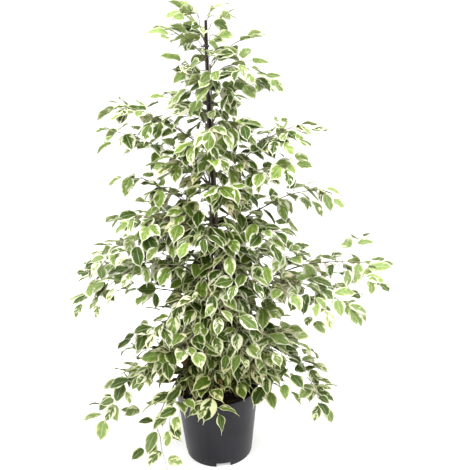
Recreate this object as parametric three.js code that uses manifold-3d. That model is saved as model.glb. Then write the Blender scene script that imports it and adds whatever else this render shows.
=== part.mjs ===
// Weeping fig with cream-edged leaves, tied to a stake in a nursery pot.
// Millimetres, +Z up, +X to the right, -Y to the front, origin at the centre of the pot's flat base.
import * as THREE from "three";
import { mergeVertices } from "three/addons/utils/BufferGeometryUtils.js";
import Module from "manifold-3d";

const wasm = await Module();
wasm.setup();

// Driving dimensions
const GAP = 0.3;
const POT_HEIGHT = 201;
const POT_RIM_RADIUS = 105;
const POT_BASE_RADIUS = 85;
const POT_WALL = 2;
const POT_FLOOR = 3;
const POT_SIDES = 36;
const CHANNEL_COUNT = 4;
const CHANNEL_BEARING = -82;
const CHANNEL_WIDTH = 36;
const CHANNEL_HEIGHT = 12;
const CHANNEL_DEPTH = 40;
const DRAIN_HOLE_RADIUS = 6;
const DRAIN_HOLE_SIDES = 12;
const DRAIN_HOLE_LENGTH = 36;
const CUT_OVERRUN = 10;
const SOIL_TOP = 176;
const SOIL_LUMP = 2.5;
const SOIL_CROWN = 6;
const SOIL_RINGS = 3;
const SOIL_WAVES = [
  { round: 3, lean: 0.11, share: 1 },
  { round: 7, lean: -0.23, share: 0.6 },
];
const STAKE_RADIUS = 3.2;
const STAKE_FOOT = 40;
const STAKE_TOP = 1103;
const STAKE_FOOT_X = 9;
const STAKE_TOP_X = 5;
const STAKE_SIDES = 10;
const STEM_FOOT = 118;
const STEM_FOOT_SPREAD = 17;
const STEM_FOOT_RADIUS = 6.5;
const STEM_TIP_RADIUS = 2;
const STEM_SIDES = 6;
const STEM_TWIST = -0.08;
const STEM_GATHER = 330;
const STEM_RUN = 70;
const STEM_TO_STAKE = 1.2;
const STEMS = [
  { name: "stem_left", top: 1078, bearing: 190 },
  { name: "stem_right", top: 1010, bearing: 30 },
  { name: "stem_back", top: 940, bearing: 108 },
];
const TIE_HEIGHTS = [340, 521, 720, 926, 1048];
const TIE_WIDTH = 4;
const TIE_THICKNESS = 1.6;
const TIE_END = 9;
const TIE_CORNERS = 12;
const TIE_SLACK = 0.65;
const TIE_END_CORNER = 7;
const TIE_END_BEARING = 18;
const TIE_STEM_ABOVE = 12;

// Leafy branches: name, height on the stem, bearing (0 right, 90 back, 180 left, 270 front), reach,
// rise from root to tip, and arch of the middle above the straight line.
const BRANCHES = [
  ["leader", 1067, 30, 16, 57, 3],
  ["top_left", 1054, 184, 34, 68, 4],
  ["top_left_long", 1020, 180, 76, 66, 8],
  ["top_right", 1000, 2, 70, 60, 10],
  ["top_back", 985, 95, 60, 86, 10],
  ["upper_right_hanging", 968, -24, 100, 30, 30],
  ["upper_left", 942, 205, 46, 78, 6],
  ["upper_front", 944, 282, 54, 62, 10],
  ["upper_right_long", 880, -6, 112, 102, 24],
  ["upper_back_left", 862, 135, 115, 60, 20],
  ["high_left_long", 815, 180, 184, 106, 12],
  ["high_right", 820, -38, 80, 72, 12],
  ["high_front_left", 790, 246, 92, 66, 16],
  ["high_back_right", 780, 62, 150, 60, 24],
  ["shoulder_left", 728, 178, 210, 134, 20],
  ["shoulder_right", 700, 6, 186, 162, 40],
  ["shoulder_front", 686, 288, 112, 80, 20],
  ["shoulder_back", 690, 108, 180, 50, 26],
  ["shoulder_right_front", 672, -22, 182, 130, 28],
  ["middle_left", 640, 176, 160, 112, 14],
  ["middle_left_low", 590, 196, 194, 84, 28],
  ["middle_front", 610, 258, 136, 50, 22],
  ["middle_right_long", 585, 4, 244, 124, 34],
  ["middle_right_front", 556, -28, 172, 92, 26],
  ["middle_back_left", 570, 140, 200, 40, 34],
  ["middle_front_right", 506, 300, 156, 44, 28],
  ["wide_left", 468, 178, 284, 36, 132],
  ["wide_left_low", 448, 188, 252, 44, 82],
  ["wide_right", 398, 0, 374, 122, 50],
  ["wide_back_right", 470, 55, 240, 20, 50],
  ["wide_front", 458, 270, 176, 30, 32],
  ["wide_back_left", 425, 125, 230, 10, 48],
  ["wide_right_low", 374, -8, 320, 46, 106],
  ["lower_left", 415, 184, 192, 64, 18],
  ["lower_left_front", 385, 214, 160, 30, 36],
  ["lower_right_front", 352, -34, 196, 22, 30],
  ["lower_front_left", 348, 246, 160, 40, 28],
  ["low_left", 318, 182, 172, 44, 22],
  ["low_left_hanging", 296, 198, 190, -14, 38],
  ["low_front", 303, 288, 156, 62, 22],
  ["rim_front", 264, 262, 136, -44, 26],
  ["rim_right", 274, -54, 140, 24, 22],
  ["skirt_left", 276, 190, 280, -104, 74],
  ["skirt_left_front", 256, 218, 214, -156, 74],
  ["skirt_right", 290, -13, 246, -72, 66],
  ["skirt_right_front", 247, -34, 184, -10, 52],
  ["skirt_back", 306, 100, 220, -60, 64],
  ["skirt_back_right", 282, 50, 214, -80, 66],
];

// Branches and twigs. A pair is the least and the most of a drawn value.
const SEED = 2411;
const BRANCH_SEED_STEP = 1000;
const AXIS_SEED_STEP = 31;
const STEM_ABOVE_ROOT = 8;
const MAIN_RUNS = 4;
const MAIN_THICKENING = 0.0075;
const MAIN_RADIUS = [1.5, 3];
const MAIN_TIP_RADIUS = 1.2;
const MAIN_LEAD = 0.4;
const MAIN_SWAY = 0.14;
const TWIG_STEP = 44;
const TWIG_SPAN = [0.2, 0.94];
const TWIG_PLACE = [0.15, 0.85];
const TWIG_ANGLE = [32, 62];
const TWIG_LIFT = [0.02, 0.42];
const TWIG_SHARE = [0.26, 0.44];
const TWIG_TAPER = [1.15, 0.65];
const TWIG_LENGTH = [44, 118];
const TWIG_DROOP = [0.1, 0.5];
const TWIG_ROOT_SHARE = 0.5;
const TWIG_TIP_RADIUS = 1;

// Leaves. Blade sizes are shares of its length, apart from its thickness.
const LEAF_STEP = 23;
const LEAF_PLACE = [0.2, 0.6];
const BARE_ROOT = 26;
const BARE_TWIG_ROOT = 13;
const LEAF_FORWARD = [0.35, 0.95];
const LEAF_ASIDE = [0.55, 1];
const LEAF_STRAY = 0.2;
const LEAF_FALL = [-8, 54];
const LEAF_ROLL = 38;
const YOUNG_FROM = 900;
const YOUNG_OVER = 200;
const YOUNG_LIFT = 30;
const YOUNG_TURN = 30;
const YOUNG_SHRINK = 0.1;
const PETIOLE = 9;
const PETIOLE_SPREAD = [0.8, 1.4];
const PETIOLE_RISE = [0.1, 0.55];
const PETIOLE_HALF_WIDTH = 0.8;
const PETIOLE_FOOT_RADIUS = 0.4;
const BLADE_LENGTH = [44, 67];
const TIP_SHRINK = 0.16;
const TIP_SHRINK_FROM = 0.45;
const BLADE_WIDTH = 0.58;
const BLADE_WIDTH_SPREAD = [0.86, 1.08];
const BLADE_FOLD = [0.06, 0.3];
const BLADE_BEND = [0.02, 0.16];
const BLADE_THICKNESS = 0.8;
const BLADE_EDGE = [
  [0.2, 0.9],
  [0.58, 0.84],
];
const SIDE_LEAVES = 102;

// Room kept round wood, petioles and blades
const WOOD_ROOM = 0.5;
const PETIOLE_ROOM = 1.2;
const PETIOLE_ROOM_FROM = 0.35;
const BLADE_ROOM = 0.8;
const BLADE_ROOM_FROM = 4;

const UP = new THREE.Vector3(0, 0, 1);
const STEEP = 0.8;

const LOOKS = {
  pot: new THREE.MeshStandardMaterial({ color: 0x303338, roughness: 0.5, metalness: 0 }),
  soil: new THREE.MeshStandardMaterial({ color: 0x2b2019, roughness: 0.95, metalness: 0 }),
  stake: new THREE.MeshStandardMaterial({ color: 0x241e1b, roughness: 0.7, metalness: 0 }),
  tie: new THREE.MeshStandardMaterial({ color: 0x141414, roughness: 0.6, metalness: 0 }),
  bark: new THREE.MeshStandardMaterial({ color: 0x77644c, roughness: 0.85, metalness: 0 }),
  leaf: new THREE.MeshStandardMaterial({ color: 0x7c9c4e, roughness: 0.45, metalness: 0 }),
};

const plant = new THREE.Group();

function addPiece(name, solid, material) {
  const mesh = new THREE.Mesh(geometryOf(solid), material);
  mesh.name = name;
  plant.add(mesh);
}

// A closed geometry as a solid, and a solid as a geometry with flat faces.
function solidOf(geometry) {
  const bare = geometry.clone();
  bare.deleteAttribute("normal");
  bare.deleteAttribute("uv");
  const merged = mergeVertices(bare, 1e-4);
  return new wasm.Manifold(
    new wasm.Mesh({
      numProp: 3,
      vertProperties: new Float32Array(merged.attributes.position.array),
      triVerts: new Uint32Array(merged.index.array),
    }),
  );
}

function geometryOf(solid) {
  const mesh = solid.getMesh();
  const geometry = new THREE.BufferGeometry();
  geometry.setAttribute("position", new THREE.BufferAttribute(mesh.vertProperties, 3));
  geometry.setIndex(new THREE.BufferAttribute(mesh.triVerts, 1));
  const flat = geometry.toNonIndexed();
  flat.computeVertexNormals();
  return flat;
}

function solidFrom(points, faces) {
  const geometry = new THREE.BufferGeometry();
  const numbers = points.flatMap((p) => [p.x, p.y, p.z]);
  geometry.setAttribute("position", new THREE.Float32BufferAttribute(numbers, 3));
  geometry.setIndex(faces.flat());
  return solidOf(geometry);
}

// A seeded stream of draws between 0 and 1.
function drawsFrom(seed) {
  let state = seed >>> 0;
  return () => {
    state = (state + 0x6d2b79f5) >>> 0;
    let t = state;
    t = Math.imul(t ^ (t >>> 15), t | 1);
    t ^= t + Math.imul(t ^ (t >>> 7), t | 61);
    return ((t ^ (t >>> 14)) >>> 0) / 4294967296;
  };
}

const radians = (degrees) => (degrees * Math.PI) / 180;
const mix = (a, b, t) => a + (b - a) * t;
const within = ([low, high], share) => mix(low, high, share);
const clamp = (v, low, high) => Math.min(Math.max(v, low), high);
const ease = (share) => share * share * (3 - 2 * share);
const bearingVector = (degrees) =>
  new THREE.Vector3(Math.cos(radians(degrees)), Math.sin(radians(degrees)), 0);

// Rings of corners round a line of points, each in order about the line's direction.
function ringsAlong(points, radii, sides) {
  const corners = [];
  let across = null;
  points.forEach((point, i) => {
    const before = points[Math.max(i - 1, 0)];
    const after = points[Math.min(i + 1, points.length - 1)];
    const along = after.clone().sub(before).normalize();
    if (across === null) across = Math.abs(along.z) > STEEP ? new THREE.Vector3(1, 0, 0) : UP;
    across = across.clone().addScaledVector(along, -across.dot(along)).normalize();
    const third = along.clone().cross(across);
    for (let k = 0; k < sides; k++) {
      const angle = (2 * Math.PI * k) / sides;
      corners.push(
        point
          .clone()
          .addScaledVector(across, radii[i] * Math.cos(angle))
          .addScaledVector(third, radii[i] * Math.sin(angle)),
      );
    }
  });
  return corners;
}

// The faces between rings, with the first ring closed.
function ringFaces(rings, sides) {
  const faces = [];
  for (let i = 0; i + 1 < rings; i++) {
    for (let k = 0; k < sides; k++) {
      const a = i * sides + k;
      const b = i * sides + ((k + 1) % sides);
      faces.push([a, b, b + sides], [a, b + sides, a + sides]);
    }
  }
  for (let k = 1; k + 1 < sides; k++) faces.push([0, k + 1, k]);
  return faces;
}

// A bar along points, with a radius at each and both ends closed.
function barAlong(points, radii, sides) {
  const faces = ringFaces(points.length, sides);
  const last = (points.length - 1) * sides;
  for (let k = 1; k + 1 < sides; k++) faces.push([last, last + k, last + k + 1]);
  return solidFrom(ringsAlong(points, radii, sides), faces);
}

// A solid of revolution about Z from a profile of [radius, height] pairs that starts and ends on the axis.
function turned(profile, sides) {
  const outline = profile.map(([radius, height]) => new THREE.Vector2(radius, height));
  return solidOf(new THREE.LatheGeometry(outline, sides).rotateX(Math.PI / 2));
}

// Pot: a thin tapered shell with drainage channels pressed up into its floor.
const potRadius = (height) => mix(POT_BASE_RADIUS, POT_RIM_RADIUS, height / POT_HEIGHT);

const channelBearing = (number) => CHANNEL_BEARING + (number * 360) / CHANNEL_COUNT;
const channelMiddle = POT_BASE_RADIUS - CHANNEL_DEPTH / 2;

function channelBlocks(grow) {
  const length = CHANNEL_DEPTH + 2 * CUT_OVERRUN + 2 * grow;
  const height = CHANNEL_HEIGHT + 2 * CUT_OVERRUN + grow;
  let blocks = null;
  for (let i = 0; i < CHANNEL_COUNT; i++) {
    const box = new THREE.BoxGeometry(length, CHANNEL_WIDTH + 2 * grow, height);
    box.translate(channelMiddle + CUT_OVERRUN, 0, CHANNEL_HEIGHT + grow - height / 2);
    box.rotateZ(radians(channelBearing(i)));
    const block = solidOf(box);
    blocks = blocks ? blocks.add(block) : block;
  }
  return blocks;
}

function drainHoles() {
  let holes = null;
  for (let i = 0; i < CHANNEL_COUNT; i++) {
    const at = bearingVector(channelBearing(i)).multiplyScalar(channelMiddle);
    const radius = DRAIN_HOLE_RADIUS;
    const hole = new THREE.CylinderGeometry(radius, radius, DRAIN_HOLE_LENGTH, DRAIN_HOLE_SIDES);
    hole.rotateX(Math.PI / 2);
    hole.translate(at.x, at.y, 0);
    holes = holes ? holes.add(solidOf(hole)) : solidOf(hole);
  }
  return holes;
}

function makePot() {
  const outer = turned(
    [
      [0, 0],
      [POT_BASE_RADIUS, 0],
      [POT_RIM_RADIUS, POT_HEIGHT],
      [0, POT_HEIGHT],
    ],
    POT_SIDES,
  );
  const above = POT_HEIGHT + CUT_OVERRUN;
  const inner = turned(
    [
      [0, POT_FLOOR],
      [potRadius(POT_FLOOR) - POT_WALL, POT_FLOOR],
      [potRadius(above) - POT_WALL, above],
      [0, above],
    ],
    POT_SIDES,
  );
  const hollow = inner.subtract(channelBlocks(POT_WALL));
  return outer.subtract(hollow).subtract(channelBlocks(0)).subtract(drainHoles());
}

// Stake and stems. The stems are planted round the stake and draw in to it with a slow twist.
const stakeAt = (height) =>
  new THREE.Vector3(mix(STAKE_FOOT_X, STAKE_TOP_X, height / STAKE_TOP), 0, height);

function stemRadius(stem, height) {
  const share = clamp((height - STEM_FOOT) / (stem.top - STEM_FOOT), 0, 1);
  return mix(STEM_FOOT_RADIUS, STEM_TIP_RADIUS, Math.sqrt(share));
}

function stemAt(stem, height) {
  const gathered = clamp((height - SOIL_TOP) / (STEM_GATHER - SOIL_TOP), 0, 1);
  const close = STAKE_RADIUS + stemRadius(stem, height) + STEM_TO_STAKE;
  const out = mix(STEM_FOOT_SPREAD, close, ease(gathered));
  const way = bearingVector(stem.bearing + STEM_TWIST * (height - SOIL_TOP));
  return stakeAt(height).addScaledVector(way, out);
}

function stemSolid(stem, grow, sides) {
  const heights = [];
  const steps = Math.round((stem.top - STEM_FOOT) / STEM_RUN);
  for (let i = 0; i <= steps; i++) heights.push(mix(STEM_FOOT, stem.top, i / steps));
  return barAlong(
    heights.map((h) => stemAt(stem, h)),
    heights.map((h) => stemRadius(stem, h) + grow),
    sides,
  );
}

function stakeSolid(grow) {
  const ends = [stakeAt(STAKE_FOOT), stakeAt(STAKE_TOP)];
  return barAlong(ends, [STAKE_RADIUS + grow, STAKE_RADIUS + grow], STAKE_SIDES);
}

// Soil: the pot's filling with a lumpy top and plain holes for the stake and the stems.
function makeSoil() {
  const fit = POT_WALL + GAP;
  const ground = POT_FLOOR + GAP;
  const corners = [new THREE.Vector3(0, 0, ground)];
  const ring = (radius, height, lump) => {
    for (let k = 0; k < POT_SIDES; k++) {
      const angle = (2 * Math.PI * k) / POT_SIDES;
      const wave = ({ round, lean, share }) => share * Math.sin(round * angle + lean * radius);
      const bump = lump * SOIL_WAVES.reduce((sum, each) => sum + wave(each), 0);
      corners.push(new THREE.Vector3(radius * Math.sin(angle), -radius * Math.cos(angle), height + bump));
    }
  };
  ring(potRadius(ground) - fit, ground, 0);
  for (let i = SOIL_RINGS; i > 0; i--) {
    const share = i / SOIL_RINGS;
    const radius = (potRadius(SOIL_TOP - SOIL_CROWN) - fit) * share;
    ring(radius, SOIL_TOP - SOIL_CROWN * share, i === SOIL_RINGS ? 0 : SOIL_LUMP);
  }
  corners.push(new THREE.Vector3(0, 0, SOIL_TOP));
  const faces = [];
  for (let k = 0; k < POT_SIDES; k++) {
    const next = (k + 1) % POT_SIDES;
    faces.push([0, 1 + next, 1 + k]);
    for (let r = 0; r < SOIL_RINGS; r++) {
      const a = 1 + r * POT_SIDES;
      const b = a + POT_SIDES;
      faces.push([a + k, a + next, b + next], [a + k, b + next, b + k]);
    }
    faces.push([1 + SOIL_RINGS * POT_SIDES + k, 1 + SOIL_RINGS * POT_SIDES + next, corners.length - 1]);
  }
  let soil = solidFrom(corners, faces);
  soil = soil.subtract(channelBlocks(POT_WALL + GAP)).subtract(stakeSolid(GAP));
  for (const stem of STEMS) soil = soil.subtract(stemSolid(stem, GAP, STEM_SIDES));
  return soil;
}

// Tie: a band drawn round the stake and the stems that reach its height, with a cut end standing out.
function tieSolid(height) {
  const circles = [{ centre: stakeAt(height), radius: STAKE_RADIUS }];
  for (const stem of STEMS) {
    const tied = stem.top > height + TIE_STEM_ABOVE;
    if (tied) circles.push({ centre: stemAt(stem, height), radius: stemRadius(stem, height) });
  }
  const hull = (grow) => {
    const outline = [];
    for (let k = 0; k < TIE_CORNERS; k++) {
      const way = bearingVector((360 * k) / TIE_CORNERS);
      const reach = (c) => c.centre.dot(way) + c.radius;
      const far = circles.reduce((best, c) => (reach(c) > reach(best) ? c : best));
      outline.push(far.centre.clone().addScaledVector(way, far.radius + grow));
    }
    return outline.map((p) => new THREE.Vector2(p.x, p.y));
  };
  const shape = new THREE.Shape(hull(TIE_SLACK + TIE_THICKNESS));
  shape.holes.push(new THREE.Path(hull(TIE_SLACK)));
  const band = new THREE.ExtrudeGeometry(shape, { depth: TIE_WIDTH, bevelEnabled: false });
  band.translate(0, 0, height - TIE_WIDTH / 2);
  const corner = hull(TIE_SLACK + TIE_THICKNESS / 2)[TIE_END_CORNER];
  const end = new THREE.BoxGeometry(TIE_END, TIE_THICKNESS, TIE_WIDTH);
  end.translate(-TIE_END / 2, 0, 0);
  end.rotateZ(radians(TIE_END_BEARING));
  end.translate(corner.x, corner.y, height);
  return solidOf(band).add(solidOf(end));
}

// A gently bent axis of wood, as the straight runs between a few points of its curve.
function axisOf(start, control, end, radii, bare) {
  const curve = new THREE.QuadraticBezierCurve3(start, control, end);
  const steps = radii.length - 1;
  return { curve, points: curve.getPoints(steps), steps, radii, length: curve.getLength(), bare };
}

function pointOn(axis, t) {
  const run = Math.min(Math.floor(t * axis.steps), axis.steps - 1);
  return axis.points[run].clone().lerp(axis.points[run + 1], t * axis.steps - run);
}

// The stem on the side that a branch grows to.
function stemFor(height, bearing) {
  const way = bearingVector(bearing);
  const able = STEMS.filter((stem) => stem.top > height + STEM_ABOVE_ROOT);
  const side = (stem) => stemAt(stem, height).sub(stakeAt(height)).normalize().dot(way);
  return able.reduce((best, stem) => (side(stem) > side(best) ? stem : best));
}

// A branch's own wood: the main curve, and twigs on its two sides in turn.
function growBranch([name, height, bearing, reach, rise, arch], index) {
  const draw = drawsFrom(SEED + BRANCH_SEED_STEP * index);
  const stem = stemFor(height, bearing);
  const start = stemAt(stem, height);
  const way = bearingVector(bearing);
  const aside = bearingVector(bearing + 90);
  const end = start.clone().addScaledVector(way, reach).addScaledVector(UP, rise);
  const control = start
    .clone()
    .addScaledVector(way, reach * MAIN_LEAD)
    .addScaledVector(UP, rise * MAIN_LEAD + 2 * arch)
    .addScaledVector(aside, reach * mix(-MAIN_SWAY, MAIN_SWAY, draw()));
  const thick = Math.min(MAIN_RADIUS[0] + reach * MAIN_THICKENING, MAIN_RADIUS[1]);
  const radii = [];
  for (let i = 0; i <= MAIN_RUNS; i++) radii.push(mix(thick, MAIN_TIP_RADIUS, i / MAIN_RUNS));
  const main = axisOf(start, control, end, radii, BARE_ROOT);
  const axes = [main];
  const twigs = Math.max(1, Math.round((main.length * (1 - TWIG_SPAN[0])) / TWIG_STEP));
  let side = draw() < 0.5 ? -1 : 1;
  for (let i = 0; i < twigs; i++) {
    const share = (i + within(TWIG_PLACE, draw())) / twigs;
    axes.push(growTwig(main, within(TWIG_SPAN, share), side, draw));
    side = -side;
  }
  const branch = { name, stem, axes, index, solids: [] };
  branch.leaves = leavesOf(branch);
  return branch;
}

function growTwig(main, t, side, draw) {
  const from = pointOn(main, t);
  const along = main.curve.getTangent(t);
  const across = UP.clone().cross(along).normalize();
  const angle = radians(within(TWIG_ANGLE, draw()));
  const lift = within(TWIG_LIFT, draw());
  const way = along
    .clone()
    .multiplyScalar(Math.cos(angle))
    .addScaledVector(across, side * Math.sin(angle))
    .addScaledVector(UP, lift)
    .normalize();
  const share = within(TWIG_SHARE, draw()) * within(TWIG_TAPER, t);
  const length = clamp(main.length * share, ...TWIG_LENGTH);
  const droop = within(TWIG_DROOP, draw());
  const control = from.clone().addScaledVector(way, length * 0.5);
  const end = from.clone().addScaledVector(way, length).addScaledVector(UP, -length * droop);
  const foot = TWIG_ROOT_SHARE * mix(main.radii[0], MAIN_TIP_RADIUS, t);
  return axisOf(from, control, end, [foot, TWIG_TIP_RADIUS], BARE_TWIG_ROOT);
}

// Leaves stand on both sides in turn, hang outwards, and one ends each axis.
function leavesOf(branch) {
  const leaves = [];
  branch.axes.forEach((axis, number) => {
    const draw = drawsFrom(SEED + BRANCH_SEED_STEP * branch.index + AXIS_SEED_STEP * (number + 1));
    const leafy = axis.length - axis.bare;
    const count = Math.max(1, Math.round(leafy / LEAF_STEP));
    let side = draw() < 0.5 ? -1 : 1;
    for (let i = 0; i < count; i++) {
      const along = axis.bare + (leafy * (i + within(LEAF_PLACE, draw()))) / count;
      leaves.push(hangLeaf(axis, number, Math.min(along / axis.length, 1), side, draw));
      side = -side;
    }
    leaves.push(hangLeaf(axis, number, 1, 0, draw));
  });
  return leaves;
}

// A leaf at a share t of an axis, on its side -1 or 1, or at its end with side 0.
function hangLeaf(axis, axisNumber, t, side, draw) {
  const root = pointOn(axis, t);
  const along = axis.curve.getTangent(t);
  const across = UP.clone().cross(along).normalize();
  const outward = along
    .clone()
    .setZ(0)
    .normalize()
    .multiplyScalar(side === 0 ? 1 : within(LEAF_FORWARD, draw()))
    .addScaledVector(across, side * within(LEAF_ASIDE, draw()) + mix(-LEAF_STRAY, LEAF_STRAY, draw()))
    .normalize();
  const young = clamp((root.z - YOUNG_FROM) / YOUNG_OVER, 0, 1);
  const fall = radians(within(LEAF_FALL, draw()) - YOUNG_LIFT * young);
  const petioleWay = outward.clone().addScaledVector(UP, within(PETIOLE_RISE, draw())).normalize();
  const bladeWay = outward.clone().multiplyScalar(Math.cos(fall)).addScaledVector(UP, -Math.sin(fall));
  const face = UP.clone().addScaledVector(bladeWay, -UP.dot(bladeWay)).normalize();
  const roll = LEAF_ROLL + YOUNG_TURN * young;
  face.applyAxisAngle(bladeWay, radians(mix(-roll, roll, draw())));
  const shrink = TIP_SHRINK * ease(clamp((t - TIP_SHRINK_FROM) / (1 - TIP_SHRINK_FROM), 0, 1));
  const length = within(BLADE_LENGTH, draw()) * (1 - YOUNG_SHRINK * young) * (1 - shrink);
  const width = length * BLADE_WIDTH * within(BLADE_WIDTH_SPREAD, draw());
  const fold = within(BLADE_FOLD, draw());
  const bend = within(BLADE_BEND, draw());
  const petiole = PETIOLE * within(PETIOLE_SPREAD, draw());
  const order = draw();
  const last = side === 0;
  return { axisNumber, last, root, petioleWay, petiole, bladeWay, face, length, width, fold, bend, order };
}

// A leaf's blade: folded along its middle, pointed, of even thickness, with a three-cornered neck.
// Corners: neck 0 left, 1 right, 2 under; upper side 3 to 7; underside 8 to 12.
function bladeCorners(leaf, grow, start) {
  const { bladeWay, face, fold, bend } = leaf;
  const across = bladeWay.clone().cross(face).normalize();
  const base = leaf.root.clone().addScaledVector(leaf.petioleWay, leaf.petiole);
  const length = leaf.length + grow;
  const half = leaf.width / 2 + grow;
  const lift = BLADE_THICKNESS / 2 + grow;
  const at = (x, y, z) =>
    base.clone().addScaledVector(across, x).addScaledVector(bladeWay, y).addScaledVector(face, z);
  const sag = (share) => -bend * length * share * share;
  const edge = (side, [share, wide]) =>
    at(side * half * wide, length * share, half * wide * fold + sag(share));
  const [low, high] = BLADE_EDGE;
  const outline = [edge(-1, low), edge(-1, high), at(0, length, sag(1)), edge(1, high), edge(1, low)];
  const neck = PETIOLE_HALF_WIDTH + grow;
  return [
    at(-neck, start, lift),
    at(neck, start, lift),
    at(0, start, -lift),
    ...outline.map((p) => p.clone().addScaledVector(face, lift)),
    ...outline.map((p) => p.clone().addScaledVector(face, -lift)),
  ];
}

function bladeFaces(first) {
  const faces = [
    [0, 4, 3],
    [0, 5, 4],
    [0, 1, 5],
    [1, 6, 5],
    [1, 7, 6],
    [2, 8, 9],
    [2, 9, 10],
    [2, 10, 11],
    [2, 11, 12],
    [0, 3, 8],
    [0, 8, 2],
    [1, 12, 7],
    [1, 2, 12],
  ];
  for (let i = 3; i < 7; i++) faces.push([i, i + 1, i + 6], [i, i + 6, i + 5]);
  return faces.map((face) => face.map((corner) => corner + first));
}

// The faces from a ring of three corners to the neck of a blade that starts at a corner number.
function neckFaces(corners, ring, blade) {
  const neck = [blade + 1, blade + 2, blade];
  const turns = [0, 1, 2];
  const gap = (k, turn) => corners[ring + k].distanceTo(corners[neck[(k + turn) % 3]]);
  const spread = (turn) => turns.reduce((sum, k) => sum + gap(k, turn), 0);
  const best = turns.reduce((a, b) => (spread(b) < spread(a) ? b : a));
  return turns.flatMap((k) => {
    const [a, b] = [ring + k, ring + ((k + 1) % 3)];
    const [c, d] = [neck[(k + best) % 3], neck[(k + 1 + best) % 3]];
    return [
      [a, b, d],
      [a, d, c],
    ];
  });
}

// A leaf that leaves the side of an axis: its petiole starts inside the wood.
function leafSolid(leaf) {
  const foot = ringsAlong(
    [leaf.root, leaf.root.clone().add(leaf.petioleWay)],
    [PETIOLE_FOOT_RADIUS, PETIOLE_FOOT_RADIUS],
    3,
  ).slice(0, 3);
  const corners = [...foot, ...bladeCorners(leaf, 0, 0)];
  return solidFrom(corners, [[0, 2, 1], ...neckFaces(corners, 0, 3), ...bladeFaces(3)]);
}

// The space round a blade that is kept free of everything else.
function bladeRoom(leaf) {
  return solidFrom(bladeCorners(leaf, BLADE_ROOM, BLADE_ROOM_FROM), [[0, 2, 1], ...bladeFaces(0)]);
}

// An axis of wood that runs on into the leaf at its end.
function sprigSolid(axis, leaf) {
  const rings = ringsAlong(axis.points, axis.radii, 3);
  const corners = [...rings, ...bladeCorners(leaf, 0, 0)];
  const ring = rings.length - 3;
  return solidFrom(corners, [
    ...ringFaces(axis.points.length, 3),
    ...neckFaces(corners, ring, rings.length),
    ...bladeFaces(rings.length),
  ]);
}

// The space round a petiole, clear of the wood that it leaves.
function petioleRoom(leaf) {
  const at = (share) => leaf.root.clone().addScaledVector(leaf.petioleWay, leaf.petiole * share);
  return barAlong([at(PETIOLE_ROOM_FROM), at(1)], [PETIOLE_ROOM, PETIOLE_ROOM], 3);
}

// What is already placed, so that a new twig or leaf that would cross it is left out.
const placed = [];

function boxesMeet(a, b) {
  for (let i = 0; i < 3; i++) if (a.min[i] > b.max[i] || b.min[i] > a.max[i]) return false;
  return true;
}

function crosses(solid, skip) {
  const box = solid.boundingBox();
  return placed.find((other) => {
    if (skip.includes(other.owner) || !boxesMeet(box, other.box)) return false;
    return solid.intersect(other.solid).volume() > 0;
  });
}

function place(solid, owner) {
  placed.push({ solid, owner, box: solid.boundingBox() });
}

function axisRoom(axis) {
  return barAlong(axis.points, axis.radii.map((radius) => radius + WOOD_ROOM), 3);
}

addPiece("pot", makePot(), LOOKS.pot);
addPiece("soil", makeSoil(), LOOKS.soil);
addPiece("stake", stakeSolid(0), LOOKS.stake);
place(stakeSolid(GAP), "stake");
place(makePot(), "pot");
for (const stem of STEMS) {
  addPiece(stem.name, stemSolid(stem, 0, STEM_SIDES), LOOKS.bark);
  place(stemSolid(stem, GAP, STEM_SIDES), stem.name);
}
for (const [i, height] of TIE_HEIGHTS.entries()) {
  const tie = tieSolid(height);
  addPiece("tie_" + (i + 1), tie, LOOKS.tie);
  place(tie, "tie");
}

// Branches grow in this order: main axes, twigs, side leaves. Each twig or side leaf that would cross
// something already placed is left out, and side leaves are shared evenly between the branches.
function addAxis(branch, number) {
  const axis = branch.axes[number];
  const leaf = branch.leaves.find((each) => each.last && each.axisNumber === number);
  const wood = axisRoom(axis);
  const rooms = [petioleRoom(leaf), bladeRoom(leaf)];
  const parent = number === 0 ? branch.stem.name : branch.name + " 0";
  axis.kept = !crosses(wood, [parent]) && !rooms.some((room) => crosses(room, []));
  if (!axis.kept) return false;
  branch.solids.push(sprigSolid(axis, leaf));
  place(wood, branch.name + " " + number);
  for (const room of rooms) place(room, "leaf");
  return true;
}

function addSideLeaf({ branch, leaf }) {
  const rooms = [bladeRoom(leaf), petioleRoom(leaf)];
  const parent = branch.name + " " + leaf.axisNumber;
  if (crosses(rooms[0], []) || crosses(rooms[1], [parent])) return false;
  branch.solids.push(leafSolid(leaf));
  for (const room of rooms) place(room, "leaf");
  return true;
}

function sideLeavesInTurn(branches) {
  const turns = branches.flatMap((branch) => {
    const own = branch.leaves.filter((leaf) => !leaf.last && branch.axes[leaf.axisNumber].kept);
    own.sort((a, b) => a.order - b.order);
    return own.map((leaf, i) => ({ branch, leaf, turn: (i + 1) / own.length }));
  });
  return turns.sort((a, b) => a.turn - b.turn);
}

function growBranches() {
  const branches = BRANCHES.map(growBranch);
  for (const branch of branches) {
    if (!addAxis(branch, 0)) throw new Error(branch.name + " crosses another piece");
  }
  for (const branch of branches) {
    for (let number = 1; number < branch.axes.length; number++) addAxis(branch, number);
  }
  let left = SIDE_LEAVES;
  for (const each of sideLeavesInTurn(branches)) {
    if (left > 0 && addSideLeaf(each)) left -= 1;
  }
  return branches;
}

// A branch's own solid: its axes and leaves joined, with its root shaped to the stem's bark.
function branchSolid(branch) {
  const whole = wasm.Manifold.union(branch.solids).subtract(stemSolid(branch.stem, GAP, STEM_SIDES));
  return whole.decompose().reduce((best, body) => (body.volume() > best.volume() ? body : best));
}

for (const branch of growBranches()) addPiece(branch.name, branchSolid(branch), LOOKS.leaf);

export default plant;
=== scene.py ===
from math import ceil, copysign, cos, exp, hypot, pi, radians, sin, sqrt
from types import SimpleNamespace

import bpy
import numpy as np
from mathutils import Matrix, Quaternion, Vector


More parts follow.
